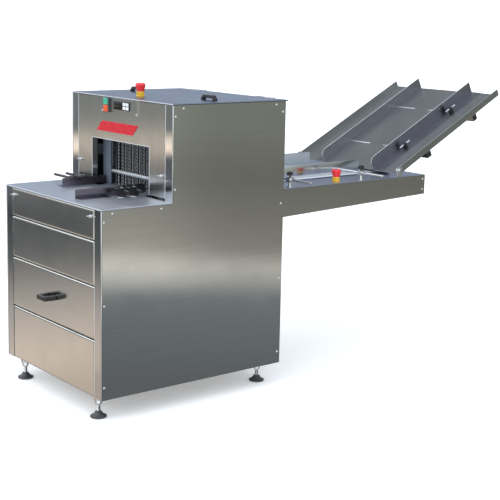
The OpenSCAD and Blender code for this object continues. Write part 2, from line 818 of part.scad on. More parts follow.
// Crankshaft along X with two pins half a turn apart, its pulley, and the motor with its belt
front_web_x = frame_a_x - frame_x / 2 - web_gap;
middle_web_x = [frame_a_x + frame_x / 2 + web_gap, frame_b_x - frame_x / 2 - web_gap];
rear_web_x = frame_b_x + frame_x / 2 + web_gap;
module crankshaft() color(dark_steel) place() {
  bar_x(journal_d, bear_front_x - bearing_w / 2 - journal_past, front_web_x, 0, crank_z);
  bar_x(2 * web_r, front_web_x - web_t, front_web_x, 0, crank_z);
  bar_x(pin_d, front_web_x, middle_web_x[0], crank_r, crank_z);
  bar_x(2 * web_r, middle_web_x[0], middle_web_x[1], 0, crank_z);
  bar_x(pin_d, middle_web_x[1], rear_web_x, -crank_r, crank_z);
  bar_x(2 * web_r, rear_web_x, rear_web_x + web_t, 0, crank_z);
  bar_x(journal_d, rear_web_x, pulley_x + pulley_w, 0, crank_z);
}
module pulley(d, bore, z) translate([pulley_x, 0, z]) rotate([0, 90, 0]) difference() {
  cylinder(h = pulley_w, d = d + 2 * pulley_rim);
  translate([0, 0, (pulley_w - drive_belt_w) / 2 - slide_gap]) difference() {
    cylinder(h = drive_belt_w + 2 * slide_gap, d = d + 2 * pulley_rim + eps);
    translate([0, 0, -eps]) cylinder(h = drive_belt_w + 2 * slide_gap + 2 * eps, d = d - 2 * seat_gap);
  }
  translate([0, 0, -eps]) cylinder(h = pulley_w + 2 * eps, d = bore);
}
module crank_pulley() color(cast) place() pulley(crank_pulley_d, journal_d, crank_z);
module motor_pulley() color(dark_steel) place() {
  pulley(motor_pulley_d, motor_shaft_d, motor_z);
  bar_x(motor_shaft_d, pulley_x - shaft_past, motor_x + shaft_in, 0, motor_z);
}
module belt_outline(r_low, r_high) hull() {
  circle(r = r_low, $fn = 96);
  translate([0, crank_z - motor_z]) circle(r = r_high, $fn = 96);
}
module drive_belt() color(rubber) place()
  translate([pulley_x + (pulley_w - drive_belt_w) / 2, 0, motor_z]) rotate([90, 0, 90])
  linear_extrude(drive_belt_w) difference() {
    belt_outline(motor_pulley_d / 2 + drive_belt_t, crank_pulley_d / 2 + drive_belt_t);
    belt_outline(motor_pulley_d / 2, crank_pulley_d / 2);
  }
module drive_motor() color(cast) place() difference() {
  union() {
    bar_x(motor_d, motor_x, motor_x + motor_len, 0, motor_z);
    bar_x(motor_nose_d, motor_x - motor_nose, motor_x, 0, motor_z);
    block([motor_x + motor_foot_in, -motor_foot_w / 2, motor_foot_z],
      [motor_x + motor_len - motor_foot_in, motor_foot_w / 2, motor_z - motor_d / 3]);
    block([motor_x + terminal_x, -terminal_w / 2, motor_z],
      [motor_x + terminal_x + terminal_len, terminal_w / 2, motor_z + motor_d / 2 + terminal_h]);
  }
  bar_x(motor_shaft_d + 2 * run_gap, motor_x - motor_nose - eps, motor_x + shaft_in + eps, 0, motor_z);
}
// Bearing housings of the crankshaft and of the belt rollers
module roller_unit(x, y, bore) difference() {
  block([x - unit_w / 2, y, roller_z - unit_w / 2],
    [x + unit_w / 2, y + unit_t, roller_z + unit_w / 2 - unit_top_cut]);
  bar_y(bore, x, y - eps, y + unit_t + eps, roller_z);
}
module bearing_units() color(cast) place() {
  for (x = [bear_front_x, bear_rear_x]) difference() {
    union() {
      block([x - bearing_w / 2, -bearing_base_w / 2, drive_z],
        [x + bearing_w / 2, bearing_base_w / 2, drive_z + bearing_base_t]);
      bar_x(bearing_d, x - bearing_w / 2, x + bearing_w / 2, 0, crank_z);
    }
    bar_x(journal_d + 2 * run_gap, x - bearing_w, x + bearing_w, 0, crank_z);
    block([x - bearing_w, -bearing_base_w, drive_z - bearing_d], [x + bearing_w, bearing_base_w, drive_z]);
  }
  both_sides() {
    roller_unit(drive_roller_x, column_in + cheek_t, roller_shaft_d + 2 * run_gap);
    roller_unit(idler_x, plate_y - unit_t, roller_shaft_d + 2 * run_gap);
  }
}

// Infeed: side plates with the end plate and the chute's rest, the deck and the belt on its rollers
module infeed_frame() color(steel) place() {
  both_sides() plate_xz(plate_y, infeed_t, [[infeed_x, deck_low], [infeed_x, deck_z - infeed_deep],
    [infeed_end_x, deck_z - infeed_end_deep], [infeed_end_x, deck_low]]);
  difference() {
    block([infeed_end_x - infeed_t, -plate_y, deck_z - infeed_end_deep], [infeed_end_x, plate_y, deck_low]);
    block([infeed_end_x - infeed_t - eps, -rest_y, deck_z - infeed_end_deep / 2],
      [infeed_end_x + eps, rest_y, deck_z]);
  }
  plate_xz(-rest_y, 2 * rest_y, [
    [infeed_end_x - infeed_t, deck_z - infeed_end_deep / 2], [infeed_end_x, deck_z - infeed_end_deep / 2],
    [infeed_end_x, under_z(infeed_end_x) - seat_gap],
    [infeed_end_x - infeed_t, under_z(infeed_end_x - infeed_t) - seat_gap]]);
}
belt_cut = belt_w / 2 + belt_clear;
module infeed_deck() color(bright) place() difference() {
  union() {
    block([infeed_x, -infeed_y, deck_low], [infeed_end_x, infeed_y, deck_z]);
    block([drive_roller_x + belt_out_r, -column_in + seat_gap, deck_low],
      [infeed_x + eps, column_in - seat_gap, deck_z]);
  }
  block([idler_x - belt_out_r, -belt_cut, deck_low - eps],
    [idler_x + belt_out_r + belt_clear, belt_cut, deck_z + eps]);
  block([infeed_end_x - infeed_t - slide_gap, -rest_y - slide_gap, deck_low - eps],
    [infeed_end_x + eps, rest_y + slide_gap, deck_z + eps]);
}
module belt_loop(r) {
  circle(r = r);
  translate([idler_x - drive_roller_x, 0]) circle(r = r);
  translate([0, -r]) square([idler_x - drive_roller_x, 2 * r]);
}
module feed_belt() color(belt_white) place()
  translate([drive_roller_x, belt_w / 2, roller_z]) rotate([90, 0, 0]) linear_extrude(belt_w) difference() {
    belt_loop(belt_out_r);
    belt_loop(belt_in_r);
  }
roller_past = 2;
roller_half = belt_w / 2 + roller_past;
gear_y = column_in + cheek_t + unit_t;
gear_w = 80;
gear_half = 45;
gear_up = 25;
gear_wall = 9;
gear_motor_d = 70;
gear_motor_len = 160;
gear_motor_drop = 8;
module belt_drive_roller() color(bright) place() {
  bar_y(roller_d, drive_roller_x, -roller_half, roller_half, roller_z);
  bar_y(roller_shaft_d, drive_roller_x, -gear_y, gear_y + gear_w - gear_wall - eps, roller_z);
}
module belt_idler_roller() color(bright) place() {
  bar_y(roller_d, idler_x, -roller_half, roller_half, roller_z);
  bar_y(roller_shaft_d, idler_x, -plate_y + slide_gap, plate_y - slide_gap, roller_z);
}
module belt_gearmotor() color(cast) place() difference() {
  union() {
    block([drive_roller_x - gear_half, gear_y, roller_z - gear_half],
      [drive_roller_x + gear_half, gear_y + gear_w, roller_z + gear_up]);
    bar_x(gear_motor_d, drive_roller_x + gear_half, drive_roller_x + gear_half + gear_motor_len,
      gear_y + gear_w / 2, roller_z - gear_motor_drop);
  }
  bar_y(roller_shaft_d + 2 * run_gap, drive_roller_x, gear_y - eps, gear_y + gear_w - gear_wall, roller_z);
}

// Infeed guides on rods, held in clamp posts by knobs
module infeed_guide() {
  face = channel_w / 2;
  block([infeed_guide_x, face, guide_low], [infeed_guide_end, face + guide_t, guide_low + infeed_guide_h]);
  block([infeed_guide_x, face, guide_low], [infeed_guide_end, face + infeed_foot_w, guide_low + guide_t]);
  for (x = [rod_x_front, rod_x_rear])
    bar_y(rod_d, x, face, face + infeed_rod_len, infeed_rod_z);
}
module infeed_guide_right() color(bright) place() mirror([0, 1, 0]) infeed_guide();
module infeed_guide_left() color(bright) place() infeed_guide();
post_top = infeed_rod_z + post_block / 2;
module infeed_clamp_posts() color(bright) place() both_sides() for (x = [rod_x_front, rod_x_rear]) {
  bar_z(post_flange_d, x, infeed_post_y, deck_z, deck_z + post_flange_t);
  bar_z(post_d, x, infeed_post_y, deck_z, infeed_rod_z - post_block / 2 + eps);
  difference() {
    block([x - post_block / 2, infeed_post_y - post_block / 2, infeed_rod_z - post_block / 2],
      [x + post_block / 2, infeed_post_y + post_block / 2, post_top]);
    bar_y(rod_d + 2 * run_gap, x, infeed_post_y - post_block, infeed_post_y + post_block, infeed_rod_z);
  }
}
module clamp_knob(x, y) {
  bar_z(knob_stud_d, x, y, post_top + seat_gap, post_top + knob_neck);
  bar_z(knob_d, x, y, post_top + knob_neck, post_top + knob_neck + knob_h);
}
module infeed_knob_right_front() color(black) place() clamp_knob(rod_x_front, -infeed_post_y);
module infeed_knob_right_rear() color(black) place() clamp_knob(rod_x_rear, -infeed_post_y);
module infeed_knob_left_front() color(black) place() clamp_knob(rod_x_front, infeed_post_y);
module infeed_knob_left_rear() color(black) place() clamp_knob(rod_x_rear, infeed_post_y);

// Outfeed guides on rods, held in clamp posts on the table
module outfeed_guide(face, front_x, rod_len) {
  block([front_x, face, outfeed_low], [outfeed_guide_end, face + guide_t, outfeed_low + outfeed_guide_h]);
  block([front_x, face, outfeed_low],
    [table_len - outfeed_foot_gap, face + outfeed_foot_w, outfeed_low + guide_t]);
  for (x = outfeed_rod_x)
    bar_y(rod_d, x, face, face + rod_len, outfeed_rod_z);
}
module outfeed_guide_right() color(dark_steel) place()
  mirror([0, 1, 0]) outfeed_guide(right_guide_y, right_guide_x, right_rod_len);
module outfeed_guide_left() color(dark_steel) place()
  outfeed_guide(left_guide_y, left_guide_x, outfeed_rod_len);
module outfeed_post(x, y) difference() {
  union() {
    block([x - outfeed_post_w / 2, y - outfeed_post_w / 2, table_z],
      [x + outfeed_post_w / 2, y + outfeed_post_w / 2, table_z + outfeed_post_h]);
    bar_z(outfeed_post_w / 2, x, y, table_z, table_z + outfeed_post_h + outfeed_cap_h);
  }
  bar_y(rod_d + 2 * run_gap, x, y - outfeed_post_w, y + outfeed_post_w, outfeed_rod_z);
}
module outfeed_clamp_posts() color(black) place() for (x = outfeed_rod_x) {
  outfeed_post(x, -right_post_y);
  outfeed_post(x, left_post_y);
}

// Emergency stops: a collar with a mushroom head that is pressed down
module stop_collar(x, y, z) difference() {
  bar_z(collar_d, x, y, z, z + collar_h);
  bar_z(stem_bore_d, x, y, z + collar_floor, z + collar_h + eps);
}
module stop_head(x, y, z) {
  bar_z(stop_neck_d, x, y, z + collar_floor + stop_lift, z + collar_h + stop_lift);
  translate([x, y, z + collar_h + stop_lift]) {
    cylinder(h = stop_cone_h, d1 = collar_d, d2 = stop_d);
    translate([0, 0, stop_cone_h]) cylinder(h = stop_head_h - stop_cone_h, d1 = stop_d, d2 = collar_d);
  }
}
module infeed_stop_collar() color(yellow) place() stop_collar(infeed_stop_x, -infeed_stop_y, deck_z);
module infeed_stop_head() color(red) place() stop_head(infeed_stop_x, -infeed_stop_y, deck_z);
module roof_stop_collar() color(yellow) place() stop_collar(roof_stop_x, roof_stop_y, roof_z);
module roof_stop_head() color(red) place() stop_head(roof_stop_x, roof_stop_y, roof_z);

// Roof lid with its hinge knuckles and pins, and the handles on it
module roof_lid() color(bright) place() {
  difference() {
    block([table_len, -side_y, roof_z - cap_h], [rear_x, side_y, roof_z]);
    block([table_len + cap_rim, -side_y + cap_rim, roof_z - cap_h - eps],
      [rear_x - cap_rim, side_y - cap_rim, roof_z - sheet_t]);
  }
  both_sides() {
    bar_y(hinge_pin_d, hinge_x, ear_y - ear_len / 2, ear_y + ear_len, hinge_z);
    bar_y(hinge_d, hinge_x, ear_y - ear_len, ear_y - ear_gap, hinge_z);
    block([rear_x - eps, ear_y - ear_len, roof_z - cap_h], [hinge_x, ear_y - ear_gap, roof_z]);
  }
}
module bow_handle(base, grip, reach, t) linear_extrude(t) difference() {
  polygon([[-base / 2, 0], [base / 2, 0], [grip / 2, reach], [-grip / 2, reach]]);
  polygon([[-base / 2 + 0.9 * t, -eps], [base / 2 - 0.9 * t, -eps],
    [grip / 2 - 0.6 * t, reach - 0.7 * t], [-grip / 2 + 0.6 * t, reach - 0.7 * t]]);
}
module lid_handles() color(black) place() both_sides()
  translate([lid_handle_x - lid_handle_t / 2, lid_handle_y, roof_z]) rotate([90, 0, 90])
  bow_handle(lid_handle_len, 0.7 * lid_handle_len, lid_handle_h, lid_handle_t);

// Crumb drawer
module drawer() color(steel) place() {
  pan(0, panel_half, drawer_low_z + panel_gap / 2, drawer_high_z - panel_gap / 2, panel_lip - seat_gap);
  difference() {
    block([sheet_t - eps / 2, -drawer_half, drawer_bottom], [drawer_depth, drawer_half, drawer_top]);
    block([2 * sheet_t, -drawer_half + sheet_t, drawer_bottom + sheet_t],
      [drawer_depth - sheet_t, drawer_half - sheet_t, drawer_top + eps]);
  }
}
module drawer_handle() color(black) place()
  translate([0, 0, (drawer_low_z + drawer_high_z) / 2 - handle_t / 2]) rotate([0, 0, 90])
  bow_handle(handle_base, handle_grip, handle_reach, handle_t);

// Chute: a tray on two pivots, with guides that slide along slots over the cross tubes
module chute_tray() color(steel) place() on_chute() difference() {
  union() {
    block([-chute_lip, -chute_y, floor_under], [chute_top, chute_y, floor_w]);
    both_sides()
      block([-chute_lip, chute_y - chute_t, floor_under], [chute_top, chute_y, floor_w + chute_wall]);
    for (u = bar_u)
      block([u - cross_tube / 2, -chute_y, floor_under - cross_tube],
        [u + cross_tube / 2, chute_y, floor_under]);
  }
  for (u = bar_u) {
    inside = cross_tube / 2 - tube_wall;
    block([u - inside, -chute_y - eps, floor_under - cross_tube + tube_wall],
      [u + inside, chute_y + eps, floor_under - tube_wall]);
    both_sides() block([u - slot_w / 2, slot_in, floor_under - 2 * tube_wall],
      [u + slot_w / 2, clamp_y + slot_w, floor_w + eps]);
  }
  both_sides() bar_y(pivot_d + 2 * run_gap, 0, chute_y - 2 * chute_t, chute_y + eps, 0);
}
guide_floor = floor_w + seat_gap;
guide_chamfer = 22;
module chute_guide() on_chute() difference() {
  face = channel_w / 2;
  union() {
    plate_xz(face, guide_t, [[-chute_lip, guide_floor], [chute_top, guide_floor],
      [chute_top, guide_floor + chute_guide_h], [guide_chamfer - chute_lip, guide_floor + chute_guide_h],
      [-chute_lip, guide_floor + chute_guide_h - guide_chamfer]]);
    block([-chute_lip, face, guide_floor], [chute_top, face + chute_foot_w, guide_floor + guide_t]);
  }
  for (u = bar_u)
    bar_z(clamp_d + 2 * run_gap, u, clamp_y, guide_floor - eps, guide_floor + guide_t + eps);
}
module chute_guide_right() color(steel) place() mirror([0, 1, 0]) chute_guide();
module chute_guide_left() color(steel) place() chute_guide();
clamp_nut = 18;
clamp_nut_h = 6;
hub_d = 24;
hub_h = 20;
tee_d = 9;
tee_len = 74;
module chute_clamps() on_chute() for (u = bar_u) {
  top = guide_floor + guide_t;
  bar_z(clamp_d, u, clamp_y, floor_under - tube_wall - clamp_nut_h, top);
  block([u - clamp_nut / 2, clamp_y - clamp_nut / 2, floor_under - tube_wall - seat_gap - clamp_nut_h],
    [u + clamp_nut / 2, clamp_y + clamp_nut / 2, floor_under - tube_wall - seat_gap]);
  bar_z(hub_d, u, clamp_y, top, top + hub_h);
  bar_x(tee_d, u - tee_len / 2, u + tee_len / 2, clamp_y, top + hub_h);
}
module chute_clamps_right() color(black) place() mirror([0, 1, 0]) chute_clamps();
module chute_clamps_left() color(black) place() chute_clamps();
// Pivot tabs on the infeed's deck, with the bolts that the tray turns on
bolt_head_h = 7;
bolt_head_d = 20;
bolt_nut_h = 9;
module chute_pivots() color(bright) place() both_sides() {
  block([pivot_x - tab_w / 2, tab_y, deck_z], [pivot_x + tab_w / 2, infeed_y, pivot_z + tab_top]);
  bar_y(pivot_d, pivot_x, chute_y - chute_t - seat_gap - bolt_nut_h, infeed_y + bolt_head_h, pivot_z);
  bar_y(bolt_head_d, pivot_x, chute_y + seat_gap, tab_y + eps, pivot_z);
  translate([pivot_x, infeed_y, pivot_z]) rotate([-90, 0, 0])
    cylinder(h = bolt_head_h, d = bolt_head_d, $fn = 6);
  translate([pivot_x, chute_y - chute_t - seat_gap - bolt_nut_h, pivot_z]) rotate([-90, 0, 0])
    cylinder(h = bolt_nut_h, d = bolt_head_d, $fn = 6);
}

chassis_frame();
side_panels();
panel_screws();
upper_front_panel();
fixed_front_panels();
wing_screws();
table_top();
housing_front_panel();
control_plate();
button_box();
counter_display();
name_plate();
rear_panel();
foot_stems();
foot_pads();
cable_gland();
blade_tower();
bearing_units();
drive_motor();
drive_belt();
infeed_frame();
infeed_deck();
feed_belt();
belt_gearmotor();
infeed_clamp_posts();
outfeed_clamp_posts();
infeed_stop_collar();
chute_pivots();
drawer();
drawer_handle();
roof_lid();
lid_handles();
roof_stop_collar();
roof_stop_head();
infeed_stop_head();
start_button();
stop_button();
blade_frame_a();
blades_a();
blade_frame_b();
blades_b();
crankshaft();
crank_pulley();
motor_pulley();
belt_drive_roller();
belt_idler_roller();
outfeed_guide_right();
outfeed_guide_left();
infeed_guide_right();
infeed_guide_left();
hold_down_gate();
chute_tray();
chute_guide_right();
chute_guide_left();
chute_clamps_right();
chute_clamps_left();
infeed_knob_right_front();
infeed_knob_right_rear();
infeed_knob_left_front();
infeed_knob_left_rear();
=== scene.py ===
import json
import math

import bmesh
import bpy
from mathutils import Matrix, Vector

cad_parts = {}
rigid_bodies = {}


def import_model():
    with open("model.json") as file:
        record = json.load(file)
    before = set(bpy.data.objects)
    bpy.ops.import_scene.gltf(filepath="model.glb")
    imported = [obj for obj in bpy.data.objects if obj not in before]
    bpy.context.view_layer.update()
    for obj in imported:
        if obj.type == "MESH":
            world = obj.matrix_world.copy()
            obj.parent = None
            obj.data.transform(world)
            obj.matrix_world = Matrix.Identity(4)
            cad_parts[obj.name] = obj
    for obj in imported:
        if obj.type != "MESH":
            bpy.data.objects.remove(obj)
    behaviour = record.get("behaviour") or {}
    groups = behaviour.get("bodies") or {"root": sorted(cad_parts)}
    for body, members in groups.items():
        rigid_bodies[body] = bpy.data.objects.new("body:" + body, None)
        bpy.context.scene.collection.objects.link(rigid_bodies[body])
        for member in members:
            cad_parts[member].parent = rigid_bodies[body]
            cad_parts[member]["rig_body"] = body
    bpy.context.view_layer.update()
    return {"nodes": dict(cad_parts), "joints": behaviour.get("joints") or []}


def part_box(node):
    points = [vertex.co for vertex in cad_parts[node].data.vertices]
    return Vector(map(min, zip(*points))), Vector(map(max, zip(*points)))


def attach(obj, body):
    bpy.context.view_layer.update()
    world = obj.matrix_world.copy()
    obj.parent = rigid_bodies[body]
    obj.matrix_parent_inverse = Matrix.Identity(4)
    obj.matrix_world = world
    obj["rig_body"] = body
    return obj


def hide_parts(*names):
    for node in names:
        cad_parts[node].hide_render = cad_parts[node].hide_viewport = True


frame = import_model()
scene = bpy.context.scene
nodes = frame["nodes"]
print("frame loaded:", len(nodes), "nodes")


# helpers for modelling: places and sizes in metres, the rings of turned pieces in mm

hair = 0.0001  # two places closer than this count as one
facing = 0.99  # a face looks along an axis when its normal lies so far along it
smoothBelow = math.radians(32)  # flatter edges are shaded smooth
grid = 1e5  # corners of a solid are matched to a hundredth of a millimetre


def deselectAll():
    if bpy.context.object and bpy.context.object.mode == "EDIT":
        bpy.ops.object.mode_set(mode="OBJECT")
    bpy.ops.object.select_all(action="DESELECT")


def makeActive(*objs):
    # selects these alone, with the first one active
    deselectAll()
    for obj in objs:
        obj.select_set(True)
    bpy.context.view_layer.objects.active = objs[0]


def editAll(obj):
    makeActive(obj)
    bpy.ops.object.mode_set(mode="EDIT")
    bpy.ops.mesh.select_all(action="SELECT")
    return obj


def endEdit():
    bpy.ops.mesh.select_all(action="SELECT")
    bpy.ops.mesh.normals_make_consistent(inside=False)
    bpy.ops.object.mode_set(mode="OBJECT")
    return bpy.context.object


def pick(obj, kind, wanted):
    # in edit mode: selects the points, edges or faces that pass the test
    mesh = bmesh.from_edit_mesh(obj.data)
    bpy.ops.mesh.select_mode(type=kind)
    for part in {"VERT": mesh.verts, "EDGE": mesh.edges, "FACE": mesh.faces}[kind]:
        part.select_set(wanted(part))
    mesh.select_flush_mode()
    bmesh.update_edit_mesh(obj.data)


def pickPoints(obj, wanted):
    pick(obj, "VERT", lambda vert: wanted(vert.co))


def pickEdges(obj, wanted):
    pick(obj, "EDGE", lambda edge: wanted(edge.verts[0].co, edge.verts[1].co))


def pickFaces(obj, wanted):
    pick(obj, "FACE", lambda face: wanted(face.calc_center_median(), face.normal))


def extrudeBy(x, y, z):
    bpy.ops.mesh.extrude_region_move(TRANSFORM_OT_translate={"value": (x, y, z)})


def roundEdges(radius, segments):
    bpy.ops.mesh.bevel(offset=radius, segments=segments, affect="EDGES")


def applyPlace(obj, matrix=None):
    makeActive(obj)
    if matrix is not None:
        obj.matrix_world = matrix @ obj.matrix_world
        bpy.context.view_layer.update()
    bpy.ops.object.transform_apply(location=True, rotation=True, scale=True)
    return obj


def addBevel(obj, width, segments, sharpAbove):
    # a bevel modifier on the edges that turn by more than an angle in degrees
    bevel = obj.modifiers.new("softEdges", "BEVEL")
    bevel.width = width
    bevel.segments = segments
    bevel.limit_method = "ANGLE"
    bevel.angle_limit = math.radians(sharpAbove)
    return bevel


def applyModifiers(obj):
    makeActive(obj)
    for modifier in list(obj.modifiers):
        bpy.ops.object.modifier_apply(modifier=modifier.name)
    return obj


def block(low, high):
    # a cube at its size and place, left in edit mode
    deselectAll()
    low, high = Vector(low), Vector(high)
    bpy.ops.mesh.primitive_cube_add(size=1, location=(low + high) / 2, scale=high - low)
    return editAll(applyPlace(bpy.context.object))


def roundedBlock(low, high, radius, segments=3):
    block(low, high)
    bpy.ops.mesh.bevel(offset=radius, segments=segments, affect="EDGES", clamp_overlap=True)
    return endEdit()


def column(sides, radius, place, tall):
    # a cylinder or a prism about its middle, left in edit mode
    deselectAll()
    bpy.ops.mesh.primitive_cylinder_add(vertices=sides, radius=radius, depth=tall, location=place)
    return editAll(applyPlace(bpy.context.object))


def turned(rings, segments):
    # a filled circle, extruded and resized from ring to ring: (radius, height) in mm
    deselectAll()
    bpy.ops.mesh.primitive_circle_add(vertices=segments, radius=rings[0][0] / 1000, fill_type="NGON",
                                      location=(0, 0, rings[0][1] / 1000))
    editAll(applyPlace(bpy.context.object))
    for (r0, z0), (r1, z1) in zip(rings, rings[1:]):
        extrudeBy(0, 0, (z1 - z0) / 1000)
        bpy.ops.transform.resize(value=(r1 / r0, r1 / r0, 1), center_override=(0, 0, z1 / 1000))
    return endEdit()


def joined(*parts):
    makeActive(*parts)
    if len(parts) > 1:
        bpy.ops.object.join()
    return bpy.context.object


def copyTo(master, places):
    # copies with their own meshes at each place, joined into one piece
    copies = []
    for place in places:
        copy = master.copy()
        copy.data = master.data.copy()
        scene.collection.objects.link(copy)
        copy.matrix_world = place
        copies.append(copy)
    bpy.data.objects.remove(master)
    return applyPlace(joined(*copies))


def finishPiece(obj, name, material, body, slotName, *standsFor):
    makeActive(obj)
    bpy.ops.object.shade_smooth_by_angle(angle=smoothBelow)
    obj.name = name
    obj.data.name = name
    obj.data.materials.clear()
    obj.data.materials.append(material)
    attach(obj, body)
    if standsFor:
        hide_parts(*standsFor)
    return obj


def bodyOf(node):
    return nodes[node]["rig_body"]


def solidsOf(node):
    # the boxes of a node's separate solids, as (low, high): corners that share a face belong together
    mesh = nodes[node].data
    keys = [tuple(round(c * grid) for c in v.co) for v in mesh.vertices]
    owner = {key: key for key in keys}

    def top(key):
        while owner[key] != key:
            owner[key] = owner[owner[key]]
            key = owner[key]
        return key

    for face in mesh.polygons:
        corners = [keys[i] for i in face.vertices]
        for corner in corners[1:]:
            owner[top(corner)] = top(corners[0])
    groups = {}
    for key in owner:
        groups.setdefault(top(key), []).append(key)
    boxes = []
    for members in groups.values():
        low = Vector([min(m[i] for m in members) for i in range(3)]) / grid
        high = Vector([max(m[i] for m in members) for i in range(3)]) / grid
        boxes.append((low, high))
    return sorted(boxes, key=lambda box: [round(c, 3) for c in box[0]])


def at(x, y, z, turn=None):
    place = Matrix.Translation((x, y, z))
    return place @ turn if turn is not None else place


def atCentre(box, z):
    # upright over the middle of a box, at the height z
    low, high = box
    return at((low.x + high.x) / 2, (low.y + high.y) / 2, z)


faceFront = Matrix.Rotation(math.radians(-90), 4, "Y")  # +Z of a turned piece to -X
faceRight = Matrix.Rotation(math.radians(90), 4, "X")  # +Z of a turned piece to -Y
faceLeft = Matrix.Rotation(math.radians(-90), 4, "X")  # +Z of a turned piece to +Y

sideLow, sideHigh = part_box("side_panels")
houseLow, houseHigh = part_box("housing_front_panel")
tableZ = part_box("outfeed_clamp_posts")[0].z  # these posts stand on the table
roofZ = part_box("roof_stop_collar")[0].z  # this collar stands on the lid


# materials

noiseMost = (0.3, 0.7)  # most values of a noise texture lie in this span
dustMost = (0.35, 0.7)  # the same, with a little more of the dark tone


def linear(hexText):
    channels = [int(hexText[i:i + 2], 16) / 255 for i in (1, 3, 5)]
    return tuple(c / 12.92 if c <= 0.04045 else ((c + 0.055) / 1.055) ** 2.4 for c in channels) + (1,)


def addNode(tree, kind, values=None, links=None, **settings):
    # a link starts at a socket, or at the first output of a node
    node = tree.nodes.new("ShaderNode" + kind)
    for name, value in settings.items():
        setattr(node, name, value)
    for name, value in (values or {}).items():
        node.inputs[name].default_value = value
    for name, source in (links or {}).items():
        socket = source.outputs[0] if isinstance(source, bpy.types.Node) else source
        tree.links.new(socket, node.inputs[name])
    return node


def span(taken, given=(0, 1)):
    # from one span of values to another, by the names that a Map Range node has for them
    return {"From Min": taken[0], "From Max": taken[1], "To Min": given[0], "To Max": given[1]}


def newMaterial(name):
    material = bpy.data.materials.new(name)
    material.use_nodes = True
    material.node_tree.nodes.clear()
    return material, material.node_tree


# the real grain is far finer than a pixel, so its lines are drawn a few millimetres apart to show at all
sheetFinish = {"grain": "X", "lineMm": 4, "lineLengthMm": 420, "lineStrength": 0.02, "lineDepthMm": 0.2,
               "waveMm": 300, "waveStretch": 3, "waveDepthMm": 0.3, "patchMm": 140, "rough": (0.05, 0.08),
               "smear": 0, "dark": "#c0c1be", "light": "#c6c7c4"}


def brushedStainless(name, **changes):
    # 304 stainless sheet, ground with a belt: straight fine lines that smear reflections across the grain,
    # and a slight waviness of the thin sheet that bends them
    finish = {**sheetFinish, **changes}
    material, tree = newMaterial(name)
    place = addNode(tree, "TexCoord").outputs["Object"]
    lengthways = [axis == finish["grain"] for axis in "XYZ"]
    perLine = [1000 / finish["lineLengthMm" if along else "lineMm"] for along in lengthways]
    perWave = [1000 / (finish["waveMm"] * (finish["waveStretch"] if along else 1)) for along in lengthways]
    grain = addNode(tree, "Mapping", {"Scale": perLine}, {"Vector": place})
    lines = addNode(tree, "TexNoise", {"Scale": 1, "Detail": 3, "Roughness": 0.65}, {"Vector": grain})
    sheet = addNode(tree, "Mapping", {"Scale": perWave}, {"Vector": place})
    waves = addNode(tree, "TexNoise", {"Scale": 1, "Detail": 1, "Roughness": 0.4}, {"Vector": sheet})
    handled = addNode(tree, "TexNoise", {"Scale": 1000 / finish["patchMm"], "Detail": 4},
                      {"Vector": place})  # wiped and handled patches
    tone = addNode(tree, "MapRange", span(noiseMost), {"Value": lines})
    colour = addNode(tree, "Mix", {"A": linear(finish["dark"]), "B": linear(finish["light"])},
                     {"Factor": tone}, data_type="RGBA")
    gloss = addNode(tree, "MapRange", span(noiseMost, finish["rough"]), {"Value": handled})
    bend = addNode(tree, "Bump", {"Strength": 1, "Distance": finish["waveDepthMm"] / 1000}, {"Height": waves})
    cut = addNode(tree, "Bump", {"Strength": finish["lineStrength"],
                                 "Distance": finish["lineDepthMm"] / 1000}, {"Height": lines, "Normal": bend})
    around = addNode(tree, "Tangent", direction_type="RADIAL", axis="Z")
    shader = addNode(tree, "BsdfPrincipled", {"Metallic": 1, "Anisotropic": finish["smear"]},
                     {"Base Color": colour.outputs["Result"], "Roughness": gloss, "Normal": cut,
                      "Tangent": around})
    addNode(tree, "OutputMaterial", links={"Surface": shader})
    return material


sideSteel = brushedStainless("brushedSideSheet")
frontSteel = brushedStainless("brushedFrontSheet", grain="Y", rough=(0.1, 0.14), waveDepthMm=0.45)
housingSteel = brushedStainless("brushedHousingSheet", grain="Z", rough=(0.19, 0.23), smear=0.95,
                                dark="#b0b2b0", light="#b8bab8")
postSteel = brushedStainless("brushedPostSheet", grain="Z", rough=(0.06, 0.08), smear=0.95, waveDepthMm=0.1,
                             dark="#adafb0", light="#b6b8b9")
topSteel = brushedStainless("brushedTopSheet", grain="Y", rough=(0.4, 0.5), dark="#c2c7d0", light="#ccd1d9")
lidSteel = brushedStainless("brushedLidSheet", grain="Y", rough=(0.24, 0.36), waveDepthMm=0.5,
                            dark="#858d9a", light="#979eaa")
deckSteel = brushedStainless("brushedDeckSheet", rough=(0.32, 0.4), waveDepthMm=0.1,
                             dark="#a8aec0", light="#b4bacb")
chuteSteel = brushedStainless("brushedChuteSheet", rough=(0.3, 0.36), waveDepthMm=0.1,
                              dark="#999b9a", light="#a5a7a5")
chuteGuideSteel = brushedStainless("brushedChuteGuideSheet", rough=(0.26, 0.34), waveDepthMm=0.1,
                                   dark="#88888f", light="#94949a")
# paler and rougher than the other sheets; on the hems and on the left infeed guide this is painted highlight
satinSteel = brushedStainless("satinGuideSheet", rough=(0.5, 0.6), waveDepthMm=0.1,
                              dark="#d2d6da", light="#e0e3e7")
# near white and rough: a painted highlight for the glare on the right infeed guide's foot
glareFootSteel = brushedStainless("paintedGlareFootSheet", rough=(0.78, 0.86), waveDepthMm=0.1,
                                dark="#eef0f2", light="#f6f8fa")
mirrorSteel = brushedStainless("polishedGuideSheet", rough=(0.14, 0.2), waveDepthMm=0.1,
                               dark="#c6c9cc", light="#d2d5d8")
# a dark purplish grey, darker than the other sheets, on the outfeed guides
darkGuideSteel = brushedStainless("darkPurplishGuideSheet", rough=(0.24, 0.34), waveDepthMm=0.1,
                                  dark="#6b6670", light="#7d7882")
zincSteel = brushedStainless("zincPlatedSteel", lineMm=2, lineLengthMm=8, patchMm=12, rough=(0.2, 0.3),
                             waveDepthMm=0.01, dark="#c4c6c8", light="#dcdee0")
